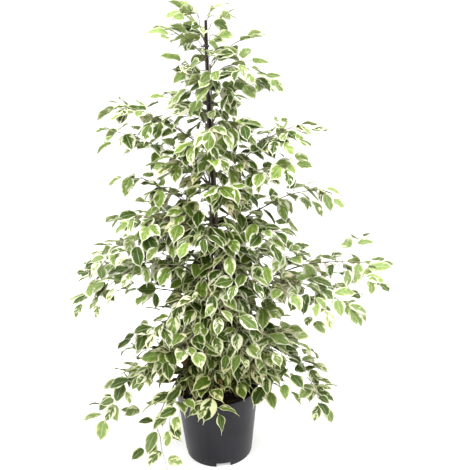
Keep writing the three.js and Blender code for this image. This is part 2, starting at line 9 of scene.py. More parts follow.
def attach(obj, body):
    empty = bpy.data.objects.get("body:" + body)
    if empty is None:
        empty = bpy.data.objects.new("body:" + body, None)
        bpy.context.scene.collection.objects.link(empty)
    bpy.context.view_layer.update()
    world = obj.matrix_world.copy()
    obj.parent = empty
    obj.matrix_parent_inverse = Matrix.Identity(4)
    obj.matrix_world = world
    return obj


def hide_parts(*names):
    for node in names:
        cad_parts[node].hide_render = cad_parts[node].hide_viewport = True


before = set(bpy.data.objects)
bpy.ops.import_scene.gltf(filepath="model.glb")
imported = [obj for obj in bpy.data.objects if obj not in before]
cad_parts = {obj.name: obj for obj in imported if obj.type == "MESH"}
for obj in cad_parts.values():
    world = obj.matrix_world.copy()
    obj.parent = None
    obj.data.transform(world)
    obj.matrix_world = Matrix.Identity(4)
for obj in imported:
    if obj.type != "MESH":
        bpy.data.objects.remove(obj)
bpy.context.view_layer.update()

MM = 0.001
UP = Vector((0, 0, 1))
# A tube that is steeper than this takes its first corner to the right, and any other takes it upwards.
STEEP = 0.8
# Turns a drawn share into a wave's phase: about a full turn
PHASE = 6.3

# Below, a list of two numbers holds a value's two ends, between which it is drawn, kept or blended.
# Four in brackets are a fade: the values that it runs between, then what it gives at each of them.

# Pot and soil
POT_HEIGHT = 201
POT_RIM_RADIUS = 105
POT_BASE_RADIUS = 85
POT_WALL = 2
POT_FLOOR = 3
POT_SIDES = 144
POT_EDGE = 1
POT_SHARP_ANGLE = 35
FOOT_ANGLES = (0, 22, 45, 68, 90)
BEAD_STEPS = 8
WALL_STEP = 10
CHANNEL_BEARINGS = (-82, 8, 98, 188)
CHANNEL_WIDTH = 36
CHANNEL_HEIGHT = 12
CHANNEL_DEPTH = 40
DRAIN_HOLE_RADIUS = 6
DRAIN_HOLE_LENGTH = 36
DRAIN_HOLE_SIDES = 32
CUT_OVERRUN = 10
SLIVER = 0.01
SOIL_TOP = 176
SOIL_CROWN = 6
SOIL_BOTTOM = 16
SOIL_FIT = 0.3
SOIL_SIDES = 120
SOIL_RINGS = 40
SOIL_UNEVEN = (2.2, 1.2, 0.7)
SOIL_FADE = 8
CRUMBS = 420
CRUMB_SIZE = [1.2, 4.6]
CRUMB_SQUASH = [0.5, 0.9]
CRUMB_REACH = 0.98
CRUMB_RINGS = 5
CRUMB_SIDES = 7
CRUMB_POLE = 0.35
CRUMB_BUMP = 0.25
CRUMB_LUMP = 0.2
FIBRES = 70
FIBRE_REACH = 0.9
FIBRE_LENGTH = [8, 22]
FIBRE_BOW = [-5, 5]
FIBRE_LIFT = 0.8
FIBRE_RISE = 0.375
FIBRE_RADIUS = 0.35
FIBRE_STEPS = 6
FIBRE_SIDES = 4
SOIL_SEED = 2416

# Stake, stems and ties
STAKE_RADIUS = 3.2
STAKE_FOOT = 40
STAKE_TOP = 1103
STAKE_FOOT_X = 9
STAKE_TOP_X = 5
STAKE_SIDES = 24
STAKE_STEP = 4
STAKE_BODY = 0.94
STAKE_JOINTS = 232
STAKE_JOINT_HEIGHT = 5
STAKE_JOINT_SWELL = 0.05
STEM_FOOT = 118
STEM_FOOT_SPREAD = 17
STEM_FOOT_RADIUS = 6.5
STEM_TIP_RADIUS = 2
STEM_TWIST = -0.08
STEM_GATHER = 330
STEM_TO_STAKE = 1.2
STEM_STEP = 5
STEM_SIDES = 20
STEM_SLIM = (500, 900, 0.94, 0.74)
STEM_AGE = (450, 950, 1, 0.15)
STEM_FLARE = 0.25
STEM_FLARE_HEIGHT = 14
COLLAR = 0.12
COLLAR_HEIGHT = 5
STEMS = [
    SimpleNamespace(name="stem_left", top=1078, bearing=190),
    SimpleNamespace(name="stem_right", top=1010, bearing=30),
    SimpleNamespace(name="stem_back", top=940, bearing=108),
]
TIE_HEIGHTS = [340, 521, 720, 926, 1048]
TIE_WIDTH = 4
TIE_THICKNESS = 1.6
TIE_SLACK = 0.65
TIE_CORNERS = 72
TIE_ROUND = 12
TIE_SQUARE = 0.6
TIE_STEM_ABOVE = 12
TWIST_CORNERS = 12
TWIST_CORNER = 7
TWIST_BEARING = 198
TWIST_LENGTH = 9
TWIST_TURN = 9
TWIST_STEPS = 14
TWIST_SPREAD = 0.75
TWIST_FLARE = 4.5
TWIST_FLARE_FROM = 0.8
TWIST_RADIUS = 0.62
TWIST_SIDES = 8
# The cap's rings below its top, with their shares of the radius. Ridges: depth, count, turn with height.
STAKE_CAP = [(3.2, 0.93), (1.2, 0.8), (0.2, 0.45), (0, 0.1)]
STAKE_RIDGES = [(0.012, 7, 0.02)]
STEM_RIDGES = [(0.03, 5, 0.05), (0.025, 9, -0.13)]

# Leafy branches: name, height on the stem, bearing (0 right, 90 back, 180 left, 270 front), reach,
# rise from root to tip, and arch of the middle above the straight line.
BRANCHES = [
    ("leader", 1067, 30, 16, 57, 3),
    ("top_left", 1054, 184, 34, 68, 4),
    ("top_left_long", 1020, 180, 76, 66, 8),
    ("top_right", 1000, 2, 70, 60, 10),
    ("top_back", 985, 95, 60, 86, 10),
    ("upper_right_hanging", 968, -24, 100, 30, 30),
    ("upper_left", 942, 205, 46, 78, 6),
    ("upper_front", 944, 282, 54, 62, 10),
    ("upper_right_long", 880, -6, 112, 102, 24),
    ("upper_back_left", 862, 135, 115, 60, 20),
    ("high_left_long", 815, 180, 184, 106, 12),
    ("high_right", 820, -38, 80, 72, 12),
    ("high_front_left", 790, 246, 92, 66, 16),
    ("high_back_right", 780, 62, 150, 60, 24),
    ("shoulder_left", 728, 178, 210, 134, 20),
    ("shoulder_right", 700, 6, 186, 162, 40),
    ("shoulder_front", 686, 288, 112, 80, 20),
    ("shoulder_back", 690, 108, 180, 50, 26),
    ("shoulder_right_front", 672, -22, 182, 130, 28),
    ("middle_left", 640, 176, 160, 112, 14),
    ("middle_left_low", 590, 196, 194, 84, 28),
    ("middle_front", 610, 258, 136, 50, 22),
    ("middle_right_long", 585, 4, 244, 124, 34),
    ("middle_right_front", 556, -28, 172, 92, 26),
    ("middle_back_left", 570, 140, 200, 40, 34),
    ("middle_front_right", 506, 300, 156, 44, 28),
    ("wide_left", 468, 178, 284, 36, 132),
    ("wide_left_low", 448, 188, 252, 44, 82),
    ("wide_right", 398, 0, 374, 122, 50),
    ("wide_back_right", 470, 55, 240, 20, 50),
    ("wide_front", 458, 270, 176, 30, 32),
    ("wide_back_left", 425, 125, 230, 10, 48),
    ("wide_right_low", 374, -8, 320, 46, 106),
    ("lower_left", 415, 184, 192, 64, 18),
    ("lower_left_front", 385, 214, 160, 30, 36),
    ("lower_right_front", 352, -34, 196, 22, 30),
    ("lower_front_left", 348, 246, 160, 40, 28),
    ("low_left", 318, 182, 172, 44, 22),
    ("low_left_hanging", 296, 198, 190, -14, 38),
    ("low_front", 303, 288, 156, 62, 22),
    ("rim_front", 264, 262, 136, -44, 26),
    ("rim_right", 274, -54, 140, 24, 22),
    ("skirt_left", 276, 190, 280, -104, 74),
    ("skirt_left_front", 256, 218, 214, -156, 74),
    ("skirt_right", 290, -13, 246, -72, 66),
    ("skirt_right_front", 247, -34, 184, -10, 52),
    ("skirt_back", 306, 100, 220, -60, 64),
    ("skirt_back_right", 282, 50, 214, -80, 66),
]

# Slim leafy sprays between the branches: the same values, then the share without leaves.
SPRAY_RADIUS = 1.2
SPRAYS = [
    ("spray_top", 1050, 210, 17, 72, 4, 0.2),
    ("spray_high_left", 812, 183, 190, 108, 20, 0.74),
    ("spray_upper_right", 724, -2, 172, 136, 30, 0.45),
    ("spray_left", 640, 184, 112, 96, 10, 0.2),
    ("spray_low_left", 436, 186, 282, 34, 104, 0.72),
    ("spray_right", 396, -20, 128, 36, 16, 0.2),
    ("spray_rim_right", 264, -22, 122, -44, 32, 0.45),
    ("spray_skirt_right", 272, -13, 236, -62, 62, 0.66),
    ("spray_middle_right", 500, -10, 176, 66, 22, 0.4),
    ("spray_low_right", 384, -12, 226, 44, 62, 0.74),
]

# Branches and twigs
SEED = 2411
BRANCH_SEED_STEP = 1000
AXIS_SEED_STEP = 31
STEM_ABOVE_ROOT = 8
MAIN_THICKENING = 0.0075
MAIN_RADIUS = [1.2, 2.7]
MAIN_TIP_RADIUS = 0.8
MAIN_LEAD = 0.4
MAIN_SWAY = [-0.14, 0.14]
TWIG_STEP = 44
TWIG_SPAN = [0.2, 0.94]
TWIG_PLACE = [0.15, 0.85]
TWIG_ANGLE = [32, 62]
TWIG_LIFT = [0.02, 0.42]
TWIG_SHARE = [0.26, 0.44]
TWIG_TAPER = [1.15, 0.65]
TWIG_LENGTH = [44, 118]
TWIG_DROOP = [0.1, 0.5]
TWIG_RADIUS = 0.95
TWIG_TIP_RADIUS = 0.55
AXIS_STEPS = 200
WOOD_WANDER = 1.6
WANDER_WAVES = (9, 11, 13)
WANDER_PHASES = (6, 6, 9)
BRANCH_WANDER = (0.37, 0.61)
TWIG_WANDER = 3.1
NODE_SWELL = 1.3
NODE_NEAR = 0.002
NODE_LAST = 0.97
AGE_SPAN = 1.1
ROOT_SWELL = 1.5
WOOD_STEPS = 12
WOOD_SLIM = (400, 850, 0.9, 0.68)
WOOD_CLEAR = 2
WOOD_CHECKS = (0.2, 0.4, 0.6, 0.8, 1)
# Sides and bark age of the wood, and a bud's rings: distance past the tip and radius
MAIN_WOOD = (10, 0.9)
TWIG_WOOD = (7, 0.6)
BUD = [(-1, 0.6), (1.5, 0.95), (4, 0.7), (7, 0.1)]
BUD_SIDES = 6

# Short shoots on the stems, inside the crown: count, lowest and highest root, and reach
INNER_SEED = 777
INNER_SHOOTS = [
    ("inner_shoots_rim", 18, 192, 262, [34, 96]),
    ("inner_shoots_low", 34, 240, 420, [34, 96]),
    ("inner_shoots_middle", 36, 400, 620, [34, 96]),
    ("inner_shoots_high", 34, 590, 900, [34, 96]),
    ("inner_shoots_top", 22, 880, 1072, [14, 42]),
]
INNER_RISE = [4, 44]
INNER_ARCH = 0.3
INNER_STRAY = [-20, 20]
INNER_RADIUS = 1.3
GOLDEN_ANGLE = 137.5

# Leaves. Blade sizes are shares of its length, apart from its thickness.
LEAF_STEP = 23
LEAF_PLACE = [0.2, 0.6]
BARE_ROOT = 26
BARE_TWIG_ROOT = 13
LEAF_FORWARD = [0.35, 0.95]
LEAF_ASIDE = [0.55, 1]
LEAF_STRAY = [-0.2, 0.2]
LEAF_FALL = [-8, 54]
LEAF_ROLL = 38
YOUNG_FROM = 900
YOUNG_OVER = 200
YOUNG_LIFT = 30
YOUNG_TURN = 30
YOUNG_SHRINK = 0.1
YOUNG_TIP = (0.86, 1, 0, 0.45)
PETIOLE = 9
PETIOLE_SPREAD = [0.8, 1.4]
PETIOLE_RISE = [0.1, 0.55]
PETIOLE_RADIUS = 0.55
PETIOLE_ARCH = 0.06
PETIOLE_JOIN = 1.5
PETIOLE_PLACES = (0.25, 0.6)
PETIOLE_SHAPE = (1, 0.8, 0.9, 1, 0.5)
PETIOLE_SIDES = 5
BLADE_LENGTH = [44, 67]
TIP_SHRINK = (0.45, 1, 1, 0.84)
BLADE_WIDTH = 0.58
BLADE_WIDTH_SPREAD = [0.86, 1.08]
BLADE_FOLD = [0.06, 0.3]
BLADE_BEND = [0.02, 0.16]
BLADE_THICKNESS = 0.4
BLADE_EDGE = 0.25
BLADE_FOOT = 0.3
BLADE_BULGE = [0.02, 0.09]
BLADE_WAVE = [0.04, 0.2]
BLADE_WAVES = [6, 12]
BLADE_TWIST = [-0.5, 0.5]
BLADE_SWAY = [-0.05, 0.05]
BLADE_ARCH = [-0.02, 0.09]
BLADE_ROWS = np.array([0, 0.02, 0.06, 0.12, 0.2, 0.3, 0.41, 0.52, 0.62, 0.7, 0.76, 0.81, 0.89, 1])
BLADE_COLUMNS = np.array([-1, -0.7, -0.35, 0, 0.35, 0.7, 1])
BLADE_BODY_END = 0.82
BLADE_BODY_CURVES = (0.8, 0.62)
DRIP_TIP_FROM = 0.66
DRIP_TIP_WIDTH = 0.2
DRIP_TIP_CURVE = 1.3
DRIP_TIP_SWAY = [-0.04, 0.04]
DRIP_TIP_DROOP = [0, 0.05]
BLADE_CLEAR = 3
FLOOR_CLEAR = 4
CHECKS_ALONG = (0.25, 0.5, 0.75, 1)
CHECKS_ACROSS = (-0.7, 0, 0.7)
BEND_CLEAR_STEP = 22
BEND_CLEAR_TRIES = 4
TONE = [-0.05, 0.88]
TONE_YOUNG = 0.04
# Tone taken off leaves low down: painted shade.
TONE_PAINTED_SHADE_LOW = (150, 750, 0.14, 0)
CREAM_CURVE = 1.5
MUCH_CREAM = [1, 3]
MUCH_CREAM_SHARE = 0.1

# Dry leaves: shares of a green one's sizes inside the crown, and sizes on the soil
DRY_BELOW = 330
DRY_SHARE = 0.12
DRY_LENGTH = 0.6
DRY_WIDTH = 0.45
DRY_FOLD = 0.8
FALLEN_SEED = 2420
FALLEN_LEAVES = 9
FALLEN_LIFT = 4
FALLEN_PLACE = [34, 72]
FALLEN_LENGTH = [24, 34]
FALLEN_FOLD = [0.1, 0.5]
FALLEN_BEND = [0, 0.2]
FALLEN_ROLL = [-0.5, 0.5]
FALLEN_TILT = [-8, 8]

# Colours as linear red, green and blue. A list holds a pattern's two ends.
GREEN = [(0.014, 0.037, 0), (0.122, 0.210, 0.009)]
GREEN_YOUNG = (0.23, 0.33, 0.05)
BAND = [(0.092, 0.156, 0.014), (0.43, 0.51, 0.17)]
VEIN = (0.24, 0.34, 0.08)
MIDRIB = (0.42, 0.50, 0.23)
# A pale grey-green over outer leaves: painted sheen and light.
PAINTED_SHEEN = (0.63, 0.66, 0.52)
# Dark greens for leaves deep in the crown: painted shade.
PAINTED_SHADE_GREEN = [(0.007, 0.017, 0), (0.072, 0.124, 0.004)]
CREAM = [(0.59, 0.59, 0.44), (0.71, 0.70, 0.58)]
CREAM_GREENISH = (0.55, 0.58, 0.37)
CREAM_WARM = (0.84, 0.70, 0.46)
CREAM_TOP = (0.49, 0.51, 0.33)
# Cream deep in the crown and low down is darker and yellower: painted shade.
CREAM_SHADED = (0.50, 0.51, 0.17)
# Cream on outer leaves is paler: painted light.
CREAM_PAINTED_LIGHT = (0.66, 0.65, 0.58)
DRY_LEAF = [(0.060, 0.020, 0.009), (0.28, 0.15, 0.070)]
UNDERSIDE = (0.39, 0.48, 0.17)
GLOW = (0.52, 0.57, 0.24)
BARK = [(0.055, 0.038, 0.024), (0.165, 0.125, 0.085)]
BARK_BLOTCH = (0.12, 0.10, 0.062)
TWIG = [(0.115, 0.085, 0.040), (0.200, 0.155, 0.075)]
PETIOLE_AND_BUD = [(0.42, 0.46, 0.20), (0.36, 0.44, 0.14)]
LENTICEL = (0.27, 0.22, 0.15)
PLASTIC = [(0.0075, 0.0072, 0.010), (0.012, 0.0115, 0.0155)]
STREAK = (0.026, 0.025, 0.031)
DUST = (0.13, 0.115, 0.095)
PEAT = [(0.010, 0.0065, 0.0045), (0.055, 0.034, 0.022)]
PEAT_CLOUD = (0.030, 0.018, 0.012)
CRUMB = (0.10, 0.055, 0.030)
STRAW = [(0.10, 0.06, 0.03), (0.24, 0.17, 0.10)]
CANE = [(0.007, 0.006, 0.0055), (0.020, 0.016, 0.013)]
CANE_WORN = (0.055, 0.042, 0.030)
TIE = [(0.006, 0.006, 0.007), (0.022, 0.022, 0.024)]

# Camera, in metres and degrees
CAMERA_PLACE = (0.055, -1.854, 1.461)
CAMERA_DOWN = 24.756
CAMERA_ROLL = 1.445
CAMERA_FIELD = 30

# Studio, in metres: lamps by name, place, height that they point at, width and watts
LAMPS = [
    ("key_lamp", (-1.5, -1.5, 2.6), 0.55, 1.2, 96),
    ("side_lamp", (1.9, -0.7, 1.6), 0.5, 1.0, 32),
    ("top_lamp", (0.2, 0.1, 3.0), 0.6, 1.0, 90),
]
WORLD_LIGHT = 1.03
FLOOR_REACH = 14
FLOOR_GREYS = (0.63, 0.65)
FLOOR_GLOW = 0.45


def draws_from(seed):
    """Seeded draws between a pair's two values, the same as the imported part's."""
    word = 0xFFFFFFFF
    step = 0x6D2B79F5
    state = seed & word

    def draw(pair=(0, 1)):
        nonlocal state
        state = (state + step) & word
        t = ((state ^ (state >> 15)) * (state | 1)) & word
        t ^= (t + ((t ^ (t >> 7)) * (t | 61))) & word
        return mix(*pair, (t ^ (t >> 14)) / (word + 1))

    return draw


def mix(low, high, share):
    return low + (high - low) * share


def clamp(value, low, high):
    return min(max(value, low), high)


def fade(value, low, high, start=0, end=1):
    """Goes smoothly from start to end as a value goes from low to high."""
    share = clamp((value - low) / (high - low), 0, 1)
    return mix(start, end, share * share * (3 - 2 * share))


def bearing_vector(degrees):
    return Vector((cos(radians(degrees)), sin(radians(degrees)), 0))


def pot_radius(height):
    return mix(POT_BASE_RADIUS, POT_RIM_RADIUS, height / POT_HEIGHT)


def stake_at(height):
    return Vector((mix(STAKE_FOOT_X, STAKE_TOP_X, height / STAKE_TOP), 0, height))


def stem_radius(stem, height):
    share = clamp((height - STEM_FOOT) / (stem.top - STEM_FOOT), 0, 1)
    return mix(STEM_FOOT_RADIUS, STEM_TIP_RADIUS, sqrt(share))


def stem_at(stem, height):
    ease = fade(height, SOIL_TOP, STEM_GATHER)
    close = STAKE_RADIUS + stem_radius(stem, height) + STEM_TO_STAKE
    out = mix(STEM_FOOT_SPREAD, close, ease)
    way = bearing_vector(stem.bearing + STEM_TWIST * (height - SOIL_TOP))
    return stake_at(height) + way * out


def stem_for(height, bearing):
    """The stem on the side that a branch grows to."""
    way = bearing_vector(bearing)
    able = [stem for stem in STEMS if stem.top > height + STEM_ABOVE_ROOT]
    return max(able, key=lambda stem: (stem_at(stem, height) - stake_at(height)).normalized().dot(way))


class Axis:
    """A bent run of wood with a radius at its root and at its tip."""

    def __init__(self, start, control, end, radii, bare, wander):
        self.ends = (start, control, end)
        self.radii = radii
        self.bare = bare
        self.wander = wander
        self.leaves = []
        steps = [self.plain(i / AXIS_STEPS) for i in range(AXIS_STEPS + 1)]
        self.length = sum((b - a).length for a, b in zip(steps, steps[1:]))

    def plain(self, t):
        start, control, end = self.ends
        return start * (1 - t) ** 2 + control * (2 * t * (1 - t)) + end * t * t

    def at(self, t):
        """A point of the axis, with the slight wander of a real twig between its ends."""
        a, b = self.wander
        waves = zip(WANDER_WAVES, WANDER_PHASES, (a, b, a))
        shift = Vector([sin(wave * t + phase * value) for wave, phase, value in waves])
        return self.plain(t) + shift * (WOOD_WANDER * sin(pi * t))

    def way(self, t):
        start, control, end = self.ends
        return ((control - start) * (1 - t) + (end - control) * t).normalized()


def arched(start, bearing, reach, rise, lift):
    """The control and end points of wood that leaves a stem to a bearing."""
    way = bearing_vector(bearing)
    control = start + way * (reach * MAIN_LEAD) + UP * (rise * MAIN_LEAD + lift)
    return control, start + way * reach + UP * rise


def grow_branch(index, row, leafless=0):
    """A branch's main axis, and its twigs on the two sides in turn, all with their leaves."""
    _, height, bearing, reach, rise, arch = row
    seed = SEED + BRANCH_SEED_STEP * index
    draw = draws_from(seed)
    start = stem_at(stem_for(height, bearing), height)
    control, end = arched(start, bearing, reach, rise, 2 * arch)
    control += bearing_vector(bearing + 90) * (reach * draw(MAIN_SWAY))
    thick = min(MAIN_RADIUS[0] + reach * MAIN_THICKENING, MAIN_RADIUS[1])
    wander = [index * step for step in BRANCH_WANDER]
    main = Axis(start, control, end, (thick, MAIN_TIP_RADIUS), BARE_ROOT, wander)
    span = TWIG_SPAN
    if leafless:
        main.bare = main.length * leafless
        main.radii = (SPRAY_RADIUS, TWIG_TIP_RADIUS)
        span = (leafless, TWIG_SPAN[1])
    axes = [main]
    count = max(1, int(main.length * (1 - span[0]) / TWIG_STEP + 0.5))
    side = -1 if draw() < 0.5 else 1
    for i in range(count):
        share = (i + draw(TWIG_PLACE)) / count
        axes.append(grow_twig(main, mix(*span, share), side, draw))
        side = -side
    for number, axis in enumerate(axes, 1):
        hang_leaves(axis, draws_from(seed + AXIS_SEED_STEP * number))
    return [axis for axis in axes if axis is main or not wood_blocked(axis)]


def grow_twig(main, t, side, draw):
    start = main.at(t)
    along = main.way(t)
    across = UP.cross(along).normalized()
    angle = radians(draw(TWIG_ANGLE))
    lift = draw(TWIG_LIFT)
    way = (along * cos(angle) + across * (side * sin(angle)) + UP * lift).normalized()
    share = draw(TWIG_SHARE) * mix(*TWIG_TAPER, t)
    length = clamp(main.length * share, *TWIG_LENGTH)
    droop = draw(TWIG_DROOP)
    control = start + way * (length * 0.5)
    end = start + way * length - UP * (length * droop)
    wander = (t + side, t * TWIG_WANDER)
    return Axis(start, control, end, (TWIG_RADIUS, TWIG_TIP_RADIUS), BARE_TWIG_ROOT, wander)


def hang_leaves(axis, draw):
    """Leaves stand on both sides of an axis in turn, and one ends it."""
    leafy = axis.length - axis.bare
    count = max(1, int(leafy / LEAF_STEP + 0.5))
    side = -1 if draw() < 0.5 else 1
    for i in range(count):
        along = axis.bare + leafy * (i + draw(LEAF_PLACE)) / count
        add_leaf(axis, min(along / axis.length, 1), side, draw)
        side = -side
    add_leaf(axis, 1, 0, draw)


def add_leaf(axis, t, side, draw):
    """A leaf at a share t of an axis, on its side -1 or 1, or at its end with side 0."""
    root = axis.at(t)
    along = axis.way(t)
    across = UP.cross(along).normalized()
    level = Vector((along.x, along.y, 0)).normalized()
    forward = 1 if side == 0 else draw(LEAF_FORWARD)
    aside = side * draw(LEAF_ASIDE) + draw(LEAF_STRAY)
    outward = (level * forward + across * aside).normalized()
    young = clamp((root.z - YOUNG_FROM) / YOUNG_OVER, 0, 1)
    fall = draw(LEAF_FALL) - YOUNG_LIFT * young
    petiole_way = (outward + UP * draw(PETIOLE_RISE)).normalized()
    leaf = SimpleNamespace(t=t, root=root, outward=outward, dry=False)
    most = LEAF_ROLL + YOUNG_TURN * young
    leaf.roll = radians(draw((-most, most)))
    leaf.length = draw(BLADE_LENGTH) * (1 - YOUNG_SHRINK * young)
    leaf.length *= fade(t, *TIP_SHRINK)
    leaf.width = leaf.length * BLADE_WIDTH * draw(BLADE_WIDTH_SPREAD)
    leaf.fold = draw(BLADE_FOLD)
    leaf.bend = draw(BLADE_BEND)
    leaf.base = root + petiole_way * (PETIOLE * draw(PETIOLE_SPREAD))
    leaf.seed = draw()
    leaf.young = max(young, fade(t, *YOUNG_TIP))
    for _ in range(BEND_CLEAR_TRIES):
        set_blade_way(leaf, fall)
        if not blade_blocked(leaf):
            axis.leaves.append(leaf)
            return
        fall -= BEND_CLEAR_STEP


def set_blade_way(leaf, fall):
    angle = radians(fall)
    leaf.way = leaf.outward * cos(angle) - UP * sin(angle)
    face = (UP - leaf.way * UP.dot(leaf.way)).normalized()
    leaf.face = Quaternion(leaf.way, leaf.roll) @ face
    leaf.across = leaf.way.cross(leaf.face).normalized()


def in_pot(point, room):
    """Whether a point lies in the pot's wall or in the soil, or nearer than the given room."""
    if point.z > POT_HEIGHT + room:
        return False
    radius = hypot(point.x, point.y)
    if point.z > SOIL_TOP + room and radius < pot_radius(point.z) - POT_WALL - room:
        return False
    return radius < pot_radius(point.z) + room


def blade_blocked(leaf):
    """Whether a blade would reach into the pot, the stake or the floor."""
    for share in CHECKS_ALONG:
        for side in CHECKS_ACROSS:
            half = leaf.width / 2 * side * (1 - share ** 3)
            point = leaf.base + leaf.way * (leaf.length * share) + leaf.across * half
            off = point - stake_at(point.z)
            near_stake = hypot(off.x, off.y) < 2 * STAKE_RADIUS and point.z < STAKE_TOP
            if in_pot(point, BLADE_CLEAR) or near_stake or point.z < FLOOR_CLEAR:
                return True
    return False


def wood_blocked(axis):
    return any(in_pot(axis.at(t), WOOD_CLEAR) for t in WOOD_CHECKS)


def grow_inner_shoots(count, low, high, reaches, seed):
    """Short leafy shoots on the stems, evenly round them."""
    draw = draws_from(seed)
    axes = []
    for i in range(count):
        height = mix(low, high, (i + draw()) / count)
        bearing = GOLDEN_ANGLE * i + draw(INNER_STRAY)
        start = stem_at(stem_for(height, bearing), height)
        reach = draw(reaches)
        rise = draw(INNER_RISE)
        control, end = arched(start, bearing, reach, rise, reach * INNER_ARCH)
        wander = (draw(), draw())
        axis = Axis(start, control, end, (INNER_RADIUS, TWIG_TIP_RADIUS), BARE_TWIG_ROOT, wander)
        hang_leaves(axis, draw)
        for leaf in axis.leaves:
            leaf.dry = height < DRY_BELOW and draw() < DRY_SHARE
            if leaf.dry:
                leaf.length *= DRY_LENGTH
                leaf.width *= DRY_WIDTH
                leaf.fold = DRY_FOLD
        axes.append(axis)
    return axes


class Form:
    """The points, faces and values of one piece, gathered part by part in millimetres."""

    def __init__(self):
        self.points, self.faces, self.places, self.traits, self.rims = [], [], [], [], []
        self.count = 0

    def add(self, points, faces, places=None, traits=(0, 0, 0, 0), rims=None):
        """Takes surface coordinates, four traits for each point, and equal marks along a sharp edge."""
        points = np.asarray(points, float)
        size = len(points)
        self.points.append(points)
        self.faces.extend([corner + self.count for corner in face] for face in faces)
        self.places.append(np.zeros((size, 2)) if places is None else places)
        self.traits.append(np.broadcast_to(np.asarray(traits, float), (size, 4)))
        self.rims.append(np.zeros(size, int) if rims is None else rims)
        self.count += size

    def piece(self, name, material, slot, *nodes):
        """The piece as an object that rides on the root body and stands for the given nodes."""
        made = mesh_object(name, (np.concatenate(self.points) * MM).tolist(), self.faces)
        mesh = made.data
        mesh.shade_smooth()
        corners = np.empty(len(mesh.loops), np.int32)
        mesh.loops.foreach_get("vertex_index", corners)
        places = np.concatenate(self.places)[corners]
        mesh.uv_layers.new(name="UVMap").data.foreach_set("uv", places.astype(np.float32).ravel())
        traits = mesh.attributes.new("traits", "FLOAT_COLOR", "POINT")
        traits.data.foreach_set("color", np.concatenate(self.traits).astype(np.float32).ravel())
        ends = np.empty(2 * len(mesh.edges), np.int32)
        mesh.edges.foreach_get("vertices", ends)
        marks = np.concatenate(self.rims)[ends.reshape(-1, 2)]
        mesh.edges.foreach_set("use_edge_sharp", (marks[:, 0] > 0) & (marks[:, 0] == marks[:, 1]))
        mesh.materials.append(material)
        place_piece(made, slot, *nodes)


def mesh_object(name, points, faces):
    """An object from points in metres."""
    mesh = bpy.data.meshes.new(name)
    mesh.from_pydata(points, [], faces)
    return bpy.data.objects.new(name, mesh)


def show(made):
    bpy.context.scene.collection.objects.link(made)


def place_piece(made, slot, *nodes):
    show(made)
    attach(made, "root")
    if nodes:
        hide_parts(*nodes)


def ring_faces(rings, sides, closed=False):
    """Quads between rings of points, with both ends closed, or the last ring joined to the first."""
    faces = []
    for i in range(rings if closed else rings - 1):
        low, high = i * sides, (i + 1) % rings * sides
        for k in range(sides):
            after = (k + 1) % sides
            faces.append((low + k, low + after, high + after, high + k))
    if not closed:
        faces.append(tuple(range(sides - 1, -1, -1)))
        faces.append(tuple(range((rings - 1) * sides, rings * sides)))
    return faces


def ring_angles(sides):
    return np.arange(sides) * 2 * pi / sides


def ridged(ridges, sides, heights):
    """Factors on the radius of a ring at each height, for ridges that turn as they rise."""
    angles = ring_angles(sides)
    factors = []
    for height in heights:
        waves = [depth * np.sin(count * angles + turn * height) for depth, count, turn in ridges]
        factors.append(1 + sum(waves))
    return factors


def add_tube(form, points, radii, sides, traits=(0, 0, 0, 0), shape=None):
    """A closed tube round a line. shape holds factors on the radius, for each ring and corner."""
    points = np.array([tuple(p) for p in points], float)
    ways = np.gradient(points, axis=0)
    ways /= np.linalg.norm(ways, axis=1)[:, None]
    across = np.array((1.0, 0, 0) if abs(ways[0][2]) > STEEP else (0, 0, 1.0))
    angles = ring_angles(sides)
    rings = []
    for i, (point, way) in enumerate(zip(points, ways)):
        across = across - way * across.dot(way)
        across /= np.linalg.norm(across)
        size = radii[i] * (np.ones(sides) if shape is None else shape[i])
        ring = point + np.outer(size * np.cos(angles), across)
        rings.append(ring + np.outer(size * np.sin(angles), np.cross(way, across)))
    form.add(np.concatenate(rings), ring_faces(len(points), sides), traits=traits)


def blade_faces():
    """The faces of a blade: upper grid, lower grid, and the thin rim that joins them."""
    rows, columns = len(BLADE_ROWS), len(BLADE_COLUMNS)
    under = rows * columns
    grid = np.arange(under).reshape(rows, columns).tolist()
    faces = []
    for low, high in zip(grid, grid[1:]):
        for a, b, c, d in zip(low, low[1:], high[1:], high):
            faces += [(a, b, c, d), (under + d, under + c, under + b, under + a)]
    loop = grid[0] + [row[-1] for row in grid[1:]]
    loop += grid[-1][-2::-1] + [row[0] for row in grid[-2:0:-1]]
    for a, b in zip(loop, loop[1:] + loop[:1]):
        faces.append((b, a, under + a, under + b))
    marks = np.zeros(2 * under, int)
    marks[loop] = 1
    marks[[under + corner for corner in loop]] = 2
    return faces, marks


BLADE_FACES, BLADE_MARKS = blade_faces()


def blade_outline(share):
    """Half of a blade's width at a share of its length: ovate, with a narrow drip tip."""
    first, second = BLADE_BODY_CURVES
    body = np.sin(pi * np.minimum(share / BLADE_BODY_END, 1) ** first).clip(0) ** second
    tip = DRIP_TIP_WIDTH * ((1 - share) / (1 - DRIP_TIP_FROM)).clip(0, 1) ** DRIP_TIP_CURVE
    return (body ** 2 + tip ** 2) ** 0.5


